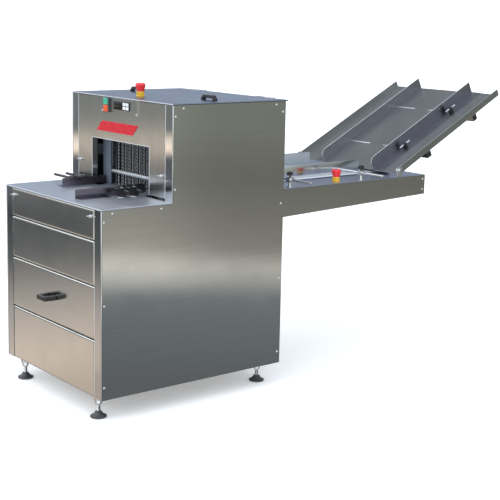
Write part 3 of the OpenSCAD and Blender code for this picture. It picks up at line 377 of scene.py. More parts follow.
machinedSteel = brushedStainless("machinedSteel", lineMm=2, lineLengthMm=30, patchMm=40, rough=(0.22, 0.36),
                                 waveDepthMm=0.05, dark="#7d7f82", light="#9a9c9f")

plasticFinish = {"grainMm": 1.2, "grainStrength": 0.12, "grainDepthMm": 0.2, "dustMm": 35,
                 "rough": (0.34, 0.46)}
glossFinish = {"grainMm": 2, "grainStrength": 0.04, "rough": (0.2, 0.3)}


def mouldedPlastic(name, **changes):
    # ABS or nylon from a mould: an even colour with the faint grain of the spark-eroded tool
    finish = {**plasticFinish, **changes}
    material, tree = newMaterial(name)
    place = addNode(tree, "TexCoord").outputs["Object"]
    grain = addNode(tree, "TexNoise", {"Scale": 1000 / finish["grainMm"], "Detail": 3}, {"Vector": place})
    dust = addNode(tree, "TexNoise", {"Scale": 1000 / finish["dustMm"], "Detail": 4}, {"Vector": place})
    tone = addNode(tree, "MapRange", span(dustMost), {"Value": dust})
    colour = addNode(tree, "Mix", {"A": linear(finish["dark"]), "B": linear(finish["light"])},
                     {"Factor": tone}, data_type="RGBA")
    gloss = addNode(tree, "MapRange", span(noiseMost, finish["rough"]), {"Value": dust})
    skin = addNode(tree, "Bump", {"Strength": finish["grainStrength"],
                                  "Distance": finish["grainDepthMm"] / 1000}, {"Height": grain})
    shader = addNode(tree, "BsdfPrincipled", {"Metallic": 0, "IOR": 1.5},
                     {"Base Color": colour.outputs["Result"], "Roughness": gloss, "Normal": skin})
    addNode(tree, "OutputMaterial", links={"Surface": shader})
    return material


blackPlastic = mouldedPlastic("mouldedBlackNylon", dark="#141416", light="#1d1d20")
greyPlastic = mouldedPlastic("mouldedGreyNylon", dark="#3c3e40", light="#4b4d4f")
paleKeys = mouldedPlastic("mouldedPaleKeypad", dark="#d2d6d9", light="#e6e8ea")
screenPlastic = mouldedPlastic("glossyDisplayScreen", grainStrength=0, rough=(0.08, 0.12),
                               dark="#0c0d0f", light="#121316")
driveRubber = mouldedPlastic("vulcanisedBeltRubber", rough=(0.6, 0.75), dark="#17171a", light="#232326")
redPlastic = mouldedPlastic("mouldedRedCap", **glossFinish, dark="#d8262c", light="#e43238")
redEnamel = mouldedPlastic("enamelledRedPlate", **glossFinish, dark="#bb0e22", light="#c6142a")
yellowPlastic = mouldedPlastic("mouldedYellowCollar", **glossFinish, dark="#d6a818", light="#e0b624")
greenPlastic = mouldedPlastic("mouldedGreenButton", **glossFinish, dark="#2c9a7c", light="#3aac8e")
orangePlastic = mouldedPlastic("mouldedOrangeButton", **glossFinish, dark="#cc4210", light="#dc5a20")

paintFinish = {"peelMm": 4, "peelStrength": 0.25, "peelDepthMm": 0.4, "soilMm": 90, "rough": (0.3, 0.5)}


def castPaint(name, dark, light):
    # enamel sprayed on castings and weldments: glossy orange peel over a grainy casting
    material, tree = newMaterial(name)
    place = addNode(tree, "TexCoord").outputs["Object"]
    peel = addNode(tree, "TexNoise", {"Scale": 1000 / paintFinish["peelMm"], "Detail": 2}, {"Vector": place})
    soil = addNode(tree, "TexNoise", {"Scale": 1000 / paintFinish["soilMm"], "Detail": 5}, {"Vector": place})
    tone = addNode(tree, "MapRange", span(dustMost), {"Value": soil})
    colour = addNode(tree, "Mix", {"A": linear(dark), "B": linear(light)}, {"Factor": tone}, data_type="RGBA")
    skin = addNode(tree, "Bump", {"Strength": paintFinish["peelStrength"],
                                  "Distance": paintFinish["peelDepthMm"] / 1000}, {"Height": peel})
    gloss = addNode(tree, "MapRange", span(noiseMost, paintFinish["rough"]), {"Value": soil})
    shader = addNode(tree, "BsdfPrincipled", {"Metallic": 0, "IOR": 1.5},
                     {"Base Color": colour.outputs["Result"], "Roughness": gloss, "Normal": skin})
    addNode(tree, "OutputMaterial", links={"Surface": shader})
    return material


driveEnamel = castPaint("sprayedGreyEnamel", "#66717a", "#77828a")
# near black on the blade frames: partly their paint, partly painted shade of the inside of the housing
frameEnamel = castPaint("nearBlackEnamelAndShade", "#1b1c1f", "#26282b")
towerEnamel = castPaint("sprayedPaleEnamel", "#6c7785", "#7c8896")

beltFinish = {"threadMm": 3, "weaveStrength": 0.3, "weaveDepthMm": 0.3, "flourMm": 60, "rough": 0.62}


def wovenBelt(name, dark, light):
    # PVC conveyor belt with a fabric back: a pale matt cover with the weave showing through,
    # drawn some six times coarser than the real threads
    material, tree = newMaterial(name)
    place = addNode(tree, "TexCoord").outputs["Object"]
    perThread = 1000 / beltFinish["threadMm"] / 20  # a wave texture turns through 20 radians in a unit
    warp, weft = [addNode(tree, "TexWave", {"Scale": perThread}, {"Vector": place}, bands_direction=axis)
                  for axis in "XY"]
    weave = addNode(tree, "Math", {}, {0: warp.outputs["Fac"], 1: weft.outputs["Fac"]}, operation="MULTIPLY")
    flour = addNode(tree, "TexNoise", {"Scale": 1000 / beltFinish["flourMm"], "Detail": 5}, {"Vector": place})
    colour = addNode(tree, "Mix", {"A": linear(dark), "B": linear(light)}, {"Factor": flour},
                     data_type="RGBA")
    skin = addNode(tree, "Bump", {"Strength": beltFinish["weaveStrength"],
                                  "Distance": beltFinish["weaveDepthMm"] / 1000}, {"Height": weave})
    shader = addNode(tree, "BsdfPrincipled", {"Metallic": 0, "Roughness": beltFinish["rough"], "IOR": 1.5},
                     {"Base Color": colour.outputs["Result"], "Normal": skin})
    addNode(tree, "OutputMaterial", links={"Surface": shader})
    return material


conveyorPvc = wovenBelt("paleConveyorPvc", "#8f98a2", "#a3abb4")
print("materials made:", len(bpy.data.materials))


# the solids that are shown as they are: their finish, and the radius in mm of their folded or machined edges

keptSolids = {
    sideSteel: {"side_panels": 0.8, "infeed_frame": 0.8, "rear_panel": 0},
    postSteel: {"chassis_frame": 0},
    housingSteel: {"housing_front_panel": 0.9, "control_plate": 0.8},
    topSteel: {"table_top": 1.5},
    deckSteel: {"infeed_deck": 0.8},
    lidSteel: {"roof_lid": 1.5},
    chuteSteel: {"chute_tray": 0.8},
    chuteGuideSteel: {"chute_guide_right": 0.8, "chute_guide_left": 0.8},
    zincSteel: {"infeed_clamp_posts": 0, "chute_pivots": 0.8},
    # the gate's bar takes this darker steel so that the sleeve's grooves show dark: painted shade
    machinedSteel: {"hold_down_gate": 0, "crankshaft": 0, "motor_pulley": 0, "belt_drive_roller": 0,
                    "belt_idler_roller": 0},
    blackPlastic: {"cable_gland": 0, "outfeed_clamp_posts": 0},
    redEnamel: {"name_plate": 0.5},
    driveEnamel: {"bearing_units": 0, "drive_motor": 0, "belt_gearmotor": 0, "crank_pulley": 0},
    frameEnamel: {"blade_frame_a": 1, "blade_frame_b": 1},
    towerEnamel: {"blade_tower": 1},
    driveRubber: {"drive_belt": 0},
    conveyorPvc: {"feed_belt": 0},
}
edgeShape = {"weld": 0.00001, "flatBelow": 1, "sharpAbove": 40, "segments": 2}


def finishSolid(obj, finish, radius):
    obj.data.materials.clear()
    obj.data.materials.append(finish)
    if radius:
        weld = obj.modifiers.new("weldTriangles", "WELD")
        weld.merge_threshold = edgeShape["weld"]
        flat = obj.modifiers.new("joinFlatFaces", "DECIMATE")
        flat.decimate_type = "DISSOLVE"
        flat.angle_limit = math.radians(edgeShape["flatBelow"])
        bevel = addBevel(obj, radius / 1000, edgeShape["segments"], edgeShape["sharpAbove"])
        bevel.harden_normals = True  # the flat faces stay flat in smooth shading


for finish, radii in keptSolids.items():
    for name, radius in radii.items():
        finishSolid(nodes[name], finish, radius)
print("solids finished")


# camera at the photo's angle

cameraView = {"place": (-3.4814, -4.1802, 1.6349), "heading": 38.8, "dip": 9.97, "roll": 1.24, "lens": 82.92,
              "sensor": 36, "shift": (0.0038, -0.0687), "reach": 100}


def addCamera():
    heading, dip, roll = (math.radians(cameraView[k]) for k in ("heading", "dip", "roll"))
    ahead = Vector((math.sin(heading) * math.cos(dip), math.cos(heading) * math.cos(dip), -math.sin(dip)))
    right = Vector((math.cos(heading), -math.sin(heading), 0))
    up = right.cross(ahead)
    tiltedRight = right * math.cos(roll) + up * math.sin(roll)
    tiltedUp = up * math.cos(roll) - right * math.sin(roll)
    turn = Matrix((tiltedRight, tiltedUp, -ahead)).transposed()
    deselectAll()
    bpy.ops.object.camera_add()
    camera = bpy.context.object
    camera.name = "photoCamera"
    camera.matrix_world = Matrix.Translation(cameraView["place"]) @ turn.to_4x4()
    camera.data.lens = cameraView["lens"]
    camera.data.sensor_width = cameraView["sensor"]
    camera.data.shift_x, camera.data.shift_y = cameraView["shift"]
    camera.data.clip_end = cameraView["reach"]
    scene.camera = camera


addCamera()


# pale floor that sweeps up behind the machine, and one soft light

studio = {"floorHalf": 20, "floorDrop": 0.0005, "wall": 7, "sweep": 3, "sweepSteps": 12, "slack": 0.01,
          "smoothBelow": 40, "floorColour": "#f4f4f4", "floorRough": 0.9, "floorShine": 0.1, "floorGlow": 0.3,
          "keyFrom": (-0.5, -0.6, 0.75), "keyHeight": 5, "keyPower": 1.1, "keySpread": 80}


def addFloor():
    half, slack = studio["floorHalf"], studio["slack"]
    deselectAll()
    bpy.ops.mesh.primitive_plane_add(size=2 * half, location=(0, 0, -studio["floorDrop"]))
    floor = editAll(applyPlace(bpy.context.object))

    def atBack(a, b):
        return min(a.y, b.y) > half - slack or min(a.x, b.x) > half - slack

    pickEdges(floor, atBack)
    extrudeBy(0, 0, studio["wall"])
    pickEdges(floor, lambda a, b: max(a.z, b.z) < slack and atBack(a, b))
    roundEdges(studio["sweep"], studio["sweepSteps"])
    bpy.ops.object.mode_set(mode="OBJECT")
    bpy.ops.object.shade_smooth_by_angle(angle=math.radians(studio["smoothBelow"]))
    floor.name = "studioFloor"
    # opal acrylic lit faintly from below, as under catalogue shots: shadows stay pale
    material, tree = newMaterial("opalAcrylicFloor")
    shader = addNode(tree, "BsdfPrincipled", {
        "Base Color": linear(studio["floorColour"]), "Roughness": studio["floorRough"],
        "Specular IOR Level": studio["floorShine"], "Emission Color": linear(studio["floorColour"]),
        "Emission Strength": studio["floorGlow"]})
    addNode(tree, "OutputMaterial", links={"Surface": shader})
    floor.data.materials.append(material)
    floor.visible_glossy = False


def addKeyLight():
    # one wide soft light from above the camera, so that floor and backdrop come out even
    deselectAll()
    bpy.ops.object.light_add(type="SUN", location=(0, 0, studio["keyHeight"]))
    light = bpy.context.object
    light.name = "keySoftbox"
    light.data.energy = studio["keyPower"]
    light.data.angle = math.radians(studio["keySpread"])
    light.rotation_euler = (-Vector(studio["keyFrom"])).to_track_quat("-Z", "Y").to_euler()


addFloor()
addKeyLight()


# what the steel mirrors: the quarters of a hall, each a run of colours from straight down (-1) to
# straight up (1)

hall = {
    "strength": 2.5, "blend": 0.25, "doorway": (0.53, 0.61), "daylight": 1.5, "doorSill": (-0.24, -0.22),
    "boards": (1.2, 9, 1), "boardGrain": (0.35, 0.65), "boardTone": (0.78, 1.12), "boardsFrom": (-0.27, -0.3),
    "front": [(-1, "#6a625a"), (-0.33, "#948a80"), (-0.29, "#b2a499"), (-0.25, "#928b86"),  # wooden floor
              (-0.21, "#505253"), (-0.17, "#393b3d"), (-0.15, "#585a5e"), (-0.12, "#44474d"),  # dark benches
              (-0.118, "#f2deca"), (-0.11, "#f2e0cc"),  # a lamp at the far wall
              (-0.108, "#646767"), (0, "#6c6e6d"), (0.08, "#98a2b0"), (0.2, "#d8dde4"), (0.6, "#e4e8ec"),
              (1, "#a8b0ba")],
    "side": [(-1, "#4a4c4e"), (-0.31, "#4c4f52"), (-0.24, "#5a6063"),  # floor in the shade
             (-0.223, "#9a9893"), (-0.214, "#95938e"), (-0.204, "#6c6a65"),  # light under the door
             (-0.14, "#545551"), (-0.1, "#60625c"), (0, "#62645d"), (0.2, "#7c8288"), (0.8, "#8a9098"),
             (1, "#a8b0ba")],
    "back": [(-1, "#5a5a5a"), (-0.1, "#5a5c60"), (0.05, "#454c5b"), (0.09, "#545c6c"), (0.14, "#8d96a5"),
             (0.25, "#8a93a2"), (0.45, "#5c6064"), (0.7, "#5c6064"), (1, "#a8b0ba")],
    "camera": [(-1, "#8a8a8a"), (-0.35, "#a6a6a6"), (-0.2, "#d0d0ce"), (0.1, "#d0d0ce"), (0.3, "#9ea2a6"),
               (0.7, "#8e949c"), (1, "#a8b0ba")],
}


def addHall():
    world = bpy.data.worlds.new("hall")
    scene.world = world
    world.use_nodes = True
    tree = world.node_tree
    tree.nodes.clear()
    split = addNode(tree, "SeparateXYZ", {}, {0: addNode(tree, "TexCoord").outputs["Generated"]})
    x, y, z = (split.outputs[axis] for axis in "XYZ")
    height = addNode(tree, "MapRange", span((-1, 1)), {"Value": z})
    quarter = {}
    for name in ("front", "side", "back", "camera"):
        ramp = addNode(tree, "ValToRGB", {}, {0: height})
        stops = ramp.color_ramp.elements
        while len(stops) < len(hall[name]):
            stops.new(0.5)
        for stop, (level, colour) in zip(stops, hall[name]):
            stop.position = (level + 1) / 2
            stop.color = linear(colour)
        quarter[name] = ramp
    ahead, left = [addNode(tree, "MapRange", span((-hall["blend"], hall["blend"])), {"Value": axis},
                           interpolation_type="SMOOTHSTEP") for axis in (x, y)]
    # floorboards along the machine, as the lower panels mirror them: a place on the floor is x / z, y / z
    along, across = [addNode(tree, "Math", {}, {0: axis, 1: z}, operation="DIVIDE") for axis in (x, y)]
    place = addNode(tree, "CombineXYZ", {}, {"X": along, "Y": across})
    boards = addNode(tree, "Mapping", {"Scale": hall["boards"]}, {"Vector": place})
    grain = addNode(tree, "TexNoise", {"Scale": 1, "Detail": 3}, {"Vector": boards})
    tone = addNode(tree, "MapRange", span(hall["boardGrain"], hall["boardTone"]), {"Value": grain})
    shown = addNode(tree, "MapRange", span(hall["boardsFrom"], (1, 1)), {"Value": z, "To Max": tone})
    floored = addNode(tree, "VectorMath", {}, {0: quarter["front"], "Scale": shown}, operation="SCALE")
    # daylight from a door, mirrored towards the front of the side panel
    sill = addNode(tree, "MapRange", span(hall["doorSill"], (1, hall["daylight"])), {"Value": z})
    daylight = addNode(tree, "MapRange", span(hall["doorway"], (1, 1)), {"Value": x, "To Min": sill},
                       interpolation_type="SMOOTHSTEP")
    doorway = addNode(tree, "VectorMath", {}, {0: quarter["side"], "Scale": daylight}, operation="SCALE")
    right = addNode(tree, "Mix", {}, {"Factor": ahead, "A": quarter["camera"], "B": doorway},
                    data_type="RGBA")
    far = addNode(tree, "Mix", {}, {"Factor": ahead, "A": floored, "B": quarter["back"]}, data_type="RGBA")
    whole = addNode(tree, "Mix", {}, {"Factor": left, "A": right.outputs["Result"],
                                      "B": far.outputs["Result"]}, data_type="RGBA")
    glow = addNode(tree, "Background", {"Strength": hall["strength"]}, {"Color": whole.outputs["Result"]})
    addNode(tree, "OutputWorld", {}, {"Surface": glow})


addHall()
scene.view_settings.view_transform = "Standard"
print("studio ready")


# front panels, folded over at their edges, and the drawer with its tub

panelShape = {"fold": 0.007, "foldSteps": 5, "flat": 0.002, "wall": 0.0026, "returnDepth": 0.0157,
              "behindFront": 0.1, "tubStart": 0.002, "tubWall": 0.002}


def foldedPan(low, high):
    # a block with its four front edges rolled over, then hollowed from behind down to the sheet
    pan = block(low, high)
    pickEdges(pan, lambda a, b: max(a.x, b.x) < low.x + hair)
    roundEdges(panelShape["fold"], panelShape["foldSteps"])
    pickFaces(pan, lambda c, n: n.x < -facing)
    bpy.ops.mesh.inset(thickness=panelShape["flat"], depth=0)  # keeps the middle flat in smooth shading
    pickFaces(pan, lambda c, n: n.x > facing)
    bpy.ops.mesh.inset(thickness=panelShape["wall"], depth=0)
    extrudeBy(low.x + panelShape["wall"] - high.x, 0, 0)
    return endEdit()


def addFrontPanels():
    name = "upper_front_panel"
    finishPiece(foldedPan(*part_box(name)), "upperPanelSheet", frontSteel, bodyOf(name), "stainless", name)
    name = "fixed_front_panels"
    fixed = joined(*[foldedPan(low, high) for low, high in solidsOf(name)])
    finishPiece(fixed, "fixedPanelSheets", frontSteel, bodyOf(name), "stainless", name)
    low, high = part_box("drawer")
    front = foldedPan(low, Vector((low.x + panelShape["returnDepth"], high.y, high.z)))
    corners = [v.co for v in nodes["drawer"].data.vertices if v.co.x > low.x + panelShape["behindFront"]]
    tubLow = Vector((low.x + panelShape["tubStart"], min(c.y for c in corners), min(c.z for c in corners)))
    tubHigh = Vector((high.x, max(c.y for c in corners), max(c.z for c in corners)))
    tub = block(tubLow, tubHigh)
    pickFaces(tub, lambda c, n: n.z > facing)
    bpy.ops.mesh.inset(thickness=panelShape["tubWall"], depth=0)
    extrudeBy(0, 0, tubLow.z + panelShape["tubWall"] - tubHigh.z)
    drawer = joined(front, endEdit())
    finishPiece(drawer, "drawerFrontAndTub", frontSteel, bodyOf("drawer"), "stainless", "drawer")


addFrontPanels()


# table and lid: the sheet's edges are rolled over the rim, which catches the light along them

plateShape = {"proud": 0.002, "lift": 0.00015, "thick": 0.0063, "round": 0.003, "roundSteps": 4,
              "flat": 0.002}


def roundedPlate(low, high):
    plate = block(low, high)
    pickEdges(plate, lambda a, b: abs(a.z - b.z) < hair)
    roundEdges(plateShape["round"], plateShape["roundSteps"])
    pickFaces(plate, lambda c, n: abs(n.z) > facing)
    bpy.ops.mesh.inset(thickness=plateShape["flat"], depth=0)
    return endEdit()


def addPlates():
    out = plateShape["proud"]
    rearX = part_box("rear_panel")[1].x
    for name, body, finish, x0, x1, base in (
            ("tableSheet", "machine", topSteel, sideLow.x - out, houseLow.x, tableZ),
            ("lidSheet", "lid", lidSteel, houseLow.x - out, rearX, roofZ)):
        top = base + plateShape["lift"]
        plate = roundedPlate((x0, sideLow.y - out, top - plateShape["thick"]), (x1, sideHigh.y + out, top))
        finishPiece(plate, name, finish, body, "bright_steel")


addPlates()


# corner folds of the side panels: narrow rounded beads from base to table and from table to roof

cornerShape = {"radius": 0.0032, "sides": 16, "inset": 0.0016, "below": 0.0065, "above": 0.0005,
               "edge": 0.0008, "edgeSteps": 2}


def addCornerFolds():
    inset, below = cornerShape["inset"], cornerShape["below"]
    beads = []
    for x, z0, z1 in ((sideLow.x, sideLow.z, tableZ - below),
                      (houseLow.x, tableZ + cornerShape["above"], roofZ - below)):
        for y in (sideLow.y + inset, sideHigh.y - inset):
            place = (x + inset, y, (z0 + z1) / 2)
            bead = column(cornerShape["sides"], cornerShape["radius"], place, z1 - z0)
            pickEdges(bead, lambda a, b: abs(a.z - b.z) < hair)
            roundEdges(cornerShape["edge"], cornerShape["edgeSteps"])
            beads.append(endEdit())
    finishPiece(joined(*beads), "cornerFolds", postSteel, bodyOf("side_panels"), "stainless")


addCornerFolds()
print("panels and plates made")


# rolled hems of the housing's sheet, round its window and down its sides, and along the front of the lid,
# drawn in a paler satin steel than the sheets: painted highlight lines along these edges

hemShape = {"windowHalf": 0.228, "windowTop": 1.081, "foot": 0.001, "radiusMm": 1.6, "proud": 0.0008,
            "lidProud": 0.0014, "tip": 0.6, "shoulder": 0.5, "cap": 0.2, "sides": 12}


def hemBar(a, b, radius):
    # a thin bar with rounded ends from a to b
    a, b = Vector(a), Vector(b)
    length, tip, shoulder = (b - a).length * 1000, radius * hemShape["tip"], radius * hemShape["shoulder"]
    bar = turned([(tip, 0), (radius, shoulder), (radius, length - shoulder), (tip, length),
                  (radius * hemShape["cap"], length)], hemShape["sides"])
    return applyPlace(bar, Matrix.Translation(a) @ (b - a).to_track_quat("Z", "Y").to_matrix().to_4x4())


def addHousingHems():
    half, top, radius = hemShape["windowHalf"], hemShape["windowTop"], hemShape["radiusMm"]
    x, foot = houseLow.x + radius / 1000 - hemShape["proud"], houseLow.z + hemShape["foot"]
    uprights = ((-half, top), (half, top), (houseLow.y, houseHigh.z), (houseHigh.y, houseHigh.z))
    hems = [hemBar((x, y, foot), (x, y, end), radius) for y, end in uprights]
    hems.append(hemBar((x, -half, top), (x, half, top), radius))
    # the hems' pale satin is a painted highlight along the window and down the sides
    finishPiece(joined(*hems), "housingHems", satinSteel, bodyOf("housing_front_panel"), "stainless")
    x = houseLow.x - plateShape["proud"] + radius / 1000 - hemShape["lidProud"]
    z = roofZ - plateShape["thick"] / 2
    hem = hemBar((x, sideLow.y, z), (x, sideHigh.y, z), radius)
    # the pale satin of the lid's hem is a painted highlight along its front edge
    finishPiece(hem, "lidHem", satinSteel, "lid", "stainless")


addHousingHems()


# blades with a scalloped cutting edge towards the bread; the scallops are coarser than real teeth, to show

# the teeth's pale tone, and the share of their metal taken away, are a painted highlight for the glint of the
# ground teeth
bladeShape = {"scallopMm": 15, "depthMm": 5, "groundMm": 7, "fadeMm": 1, "body": "#34363a",
              "teeth": "#e8eaec", "glintMatte": 0.8, "rough": 0.36}


def toothedSteel(name, edgeX):
    # hardened strip: a dark tempered body, and teeth ground bright, drawn pale and mostly matt as a painted
    # highlight for their glint
    material, tree = newMaterial(name)
    split = addNode(tree, "SeparateXYZ", {}, {0: addNode(tree, "TexCoord").outputs["Object"]})
    start = edgeX - bladeShape["groundMm"] / 1000
    ground = addNode(tree, "MapRange", span((start, start + bladeShape["fadeMm"] / 1000)),
                     {"Value": split.outputs["X"]})
    colour = addNode(tree, "Mix", {"A": linear(bladeShape["body"]), "B": linear(bladeShape["teeth"])},
                     {"Factor": ground}, data_type="RGBA")
    # the pale teeth lose most of their metal, so that their painted highlight shows from every side
    bare = addNode(tree, "MapRange", span((0, 1), (1, 1 - bladeShape["glintMatte"])), {"Value": ground})
    shader = addNode(tree, "BsdfPrincipled", {"Roughness": bladeShape["rough"]},
                     {"Base Color": colour.outputs["Result"], "Metallic": bare})
    addNode(tree, "OutputMaterial", links={"Surface": shader})
    return material


def addBlades():
    for node in ("blades_a", "blades_b"):
        boxes = solidsOf(node)
        size = boxes[0][1] - boxes[0][0]
        rows = 2 * round(size.z * 1000 / bladeShape["scallopMm"])
        blade = block(-size / 2, size / 2)
        pickEdges(blade, lambda a, b: abs(a.z - b.z) > size.z / 2)
        bpy.ops.mesh.subdivide(number_cuts=rows - 1)
        # every other row of the cutting edge is drawn in
        pickPoints(blade, lambda p: p.x > 0 and round((p.z / size.z + 0.5) * rows) % 2 == 1)
        bpy.ops.transform.translate(value=(-bladeShape["depthMm"] / 1000, 0, 0))
        blades = copyTo(endEdit(), [at(*((low + high) / 2)) for low, high in boxes])
        steel = toothedSteel("groundTeethGlintOf_" + node, boxes[0][1].x)
        finishPiece(blades, node + "Scalloped", steel, bodyOf(node), "bright_steel", node)


addBlades()


# ribbed sleeve on the bar of the hold-down gate; the bar in its grooves is drawn in darker steel, as painted
# shade

sleeveShape = {"rib": 8, "groove": 6, "outer": 8.4, "inner": 6.6, "edge": 0.6, "sides": 24, "endGap": 0.006,
               "barRadius": 0.007}


def addGateSleeve():
    low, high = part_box("hold_down_gate")
    length = (high.y - low.y - 2 * sleeveShape["endGap"]) * 1000
    rib, groove, outer, inner, edge = (sleeveShape[k] for k in ("rib", "groove", "outer", "inner", "edge"))
    rings, place = [(1, 0), (outer - edge, 0)], edge
    while place + rib + groove < length:
        rings += [(outer, place), (outer, place + rib), (inner, place + rib + edge),
                  (inner, place + rib + groove - edge)]
        place += rib + groove
    rings += [(outer, place), (outer - edge, length), (1, length)]
    bar = sleeveShape["barRadius"]
    start = at(low.x + bar, -length / 2000, low.z + bar, faceLeft)
    sleeve = copyTo(turned(rings, sleeveShape["sides"]), [start])
    finishPiece(sleeve, "gateSleeve", satinSteel, bodyOf("hold_down_gate"), "bright_steel")


addGateSleeve()
print("blades and gate made")


# emergency stops: "brim" is counted in from the collar's radius, "dome" in from the head's own

stopShape = {"foot": 3, "groove": 0.8, "bevel": 1, "rim": 5, "edge": 1.5, "lip": 0.6, "bore": 15,
             "boreDeep": 17, "hole": 8, "neck": 14.4, "headTall": 30, "coneTall": 20, "sides": 48,
             "brim": [(1.5, 0), (0.2, 0.8)],
             "dome": [(0.6, -1.2), (0, 0), (0.3, 1.5), (1.4, 5), (3.5, 8), (7, 9.4)],
             "crown": [(6, 9.9), (1, 10)]}


def addStop(headNode, collarNode):
    low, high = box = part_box(collarNode)
    outer, tall = (high.x - low.x) * 500, (high.z - low.z) * 1000
    foot, groove, bevel, rim = (stopShape[k] for k in ("foot", "groove", "bevel", "rim"))
    bore, lip, floor = stopShape["bore"], stopShape["lip"], tall - stopShape["boreDeep"]
    rings = [(outer, 0), (outer, foot), (outer - groove, foot + bevel), (outer - groove, tall - rim - bevel),
             (outer, tall - rim), (outer, tall - stopShape["edge"]), (outer - bevel, tall),
             (bore + lip, tall), (bore, tall - lip), (bore, floor), (stopShape["hole"], floor)]
    collar = copyTo(turned(rings, stopShape["sides"]), [atCentre(box, low.z)])
    finishPiece(collar, collarNode + "Ring", yellowPlastic, bodyOf(collarNode), "yellow_plastic", collarNode)
    low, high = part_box(headNode)
    wide, under = (high.x - low.x) * 500, (high.z - low.z) * 1000 - stopShape["headTall"]
    neck, cone = stopShape["neck"], under + stopShape["coneTall"]
    rings = [(neck, 0), (neck, under)]
    rings += [(outer - inward, under + up) for inward, up in stopShape["brim"]]
    rings += [(wide - inward, cone + up) for inward, up in stopShape["dome"]]
    rings += [(radius, cone + up) for radius, up in stopShape["crown"]]
    head = copyTo(turned(rings, stopShape["sides"]), [atCentre(box, low.z)])
    finishPiece(head, headNode + "Mushroom", redPlastic, bodyOf(headNode), "red_plastic", headNode)


addStop("roof_stop_head", "roof_stop_collar")
addStop("infeed_stop_head", "infeed_stop_collar")
print("emergency stops made")


# screws of the side panels, with a domed head and a socket

screwShape = {"rings": [(5.5, 0), (5.5, 0.6), (5.1, 1.5), (4.2, 2.4), (3, 3), (2.2, 3), (2, 2.8), (2, 1.2),
                        (0.5, 1.0)],
              "sides": 20, "tall": 0.003}


def addPanelScrews():
    places = []
    for low, high in solidsOf("panel_screws"):
        x, z = (low.x + high.x) / 2, (low.z + high.z) / 2
        if low.y < 0:
            places.append(at(x, low.y + screwShape["tall"], z, faceRight))
        else:
            places.append(at(x, high.y - screwShape["tall"], z, faceLeft))
    heads = copyTo(turned(screwShape["rings"], screwShape["sides"]), places)
    finishPiece(heads, "panelScrewHeads", zincSteel, bodyOf("panel_screws"), "bright_steel", "panel_screws")


addPanelScrews()


# wing screws: a boss and two wings, whose spans are given for the wing on the left

wingShape = {"boss": [(7, 0), (7, 6), (6, 8.5), (4.5, 9.4), (1, 9.6)], "bossSides": 28, "seat": 0.017,
             "x": (-0.0105, -0.0015), "y": (0.004, 0.012), "z": (-0.0015, 0.0015), "tip": 0.004,
             "tipShare": 0.8, "edge": 0.0012, "edgeSteps": 2}


def screwWing(side):
    # a thin block, drawn out and up at its tip, with all edges rounded
    (x0, x1), (z0, z1), tip = wingShape["x"], wingShape["z"], wingShape["tip"]
    y0, y1 = sorted(side * y for y in wingShape["y"])
    wing = block((x0, y0, z0), (x1, y1, z1))
    pickFaces(wing, lambda c, n: n.y * side > facing)
    extrudeBy(-tip, side * tip, 0)
    tipCentre = ((x0 + x1) / 2 - tip, side * (wingShape["y"][1] + tip), 0)
    bpy.ops.transform.resize(value=(wingShape["tipShare"], 1, 1), center_override=tipCentre)
    bpy.ops.mesh.select_all(action="SELECT")
    roundEdges(wingShape["edge"], wingShape["edgeSteps"])
    return endEdit()


def addWingScrews():
    places = [at(low.x + wingShape["seat"], (low.y + high.y) / 2, (low.z + high.z) / 2)
              for low, high in solidsOf("wing_screws")]
    boss = applyPlace(turned(wingShape["boss"], wingShape["bossSides"]), faceFront)
    screws = copyTo(joined(boss, screwWing(-1), screwWing(1)), places)
    finishPiece(screws, "wingScrewHeads", zincSteel, bodyOf("wing_screws"), "bright_steel", "wing_screws")


addWingScrews()
print("screws made")


# black bow handles of the drawer and the lid; leg and bar are shares of the thickness

handleShape = {"drawerGrip": 0.85, "lidGrip": 0.7, "leg": 0.9, "bar": 0.7, "foot": 0.004, "slanted": 0.3,
               "merge": 0.0002, "round": 0.004, "roundSteps": 4, "sharpAbove": 25}


def bowHandle(base, grip, reach, thick):
    # half a bow in the plane of Y and Z, standing on z = 0: a foot, a slanted leg and half the grip,
    # then mirrored
    leg, bar, foot = thick * handleShape["leg"], thick * handleShape["bar"], handleShape["foot"]
    rise, inward = reach - bar - foot, (base - grip) / 2
    lean = inward * rise / reach
    bow = block((-thick / 2, -base / 2, 0), (thick / 2, -base / 2 + leg, foot))
    pickFaces(bow, lambda c, n: n.z > facing)
    extrudeBy(0, lean, rise)
    extrudeBy(0, inward - lean, bar)
    pickFaces(bow, lambda c, n: n.y > handleShape["slanted"] and c.z > reach - bar)
    extrudeBy(0, base / 2 - leg - (inward + lean) / 2, 0)
    bpy.ops.transform.resize(value=(1, 0, 1), center_override=(0, 0, 0))  # flat in the mirror's plane
    bpy.ops.mesh.delete(type="FACE")
    bpy.ops.object.mode_set(mode="OBJECT")
    mirror = bow.modifiers.new("otherHalf", "MIRROR")
    mirror.use_axis = (False, True, False)
    mirror.merge_threshold = handleShape["merge"]
    addBevel(bow, handleShape["round"], handleShape["roundSteps"], handleShape["sharpAbove"])
    editAll(applyModifiers(bow))
    return endEdit()


def addHandles():
    name = "drawer_handle"
    low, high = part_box(name)
    size = high - low
    bow = bowHandle(size.y, size.y * handleShape["drawerGrip"], size.x, size.z)
    place = at(high.x, 0, (low.z + high.z) / 2, faceFront)
    finishPiece(copyTo(bow, [place]), "drawerBow", blackPlastic, bodyOf(name), "black_plastic", name)
    name = "lid_handles"
    boxes = solidsOf(name)
    size = boxes[0][1] - boxes[0][0]
    bow = bowHandle(size.y, size.y * handleShape["lidGrip"], size.z, size.x)
    places = [atCentre(box, box[0].z) for box in boxes]
    finishPiece(copyTo(bow, places), "lidBows", blackPlastic, bodyOf(name), "black_plastic", name)


addHandles()
print("handles made")


# levelling feet: "flange" is counted in from the base's radius, "top" down from its height

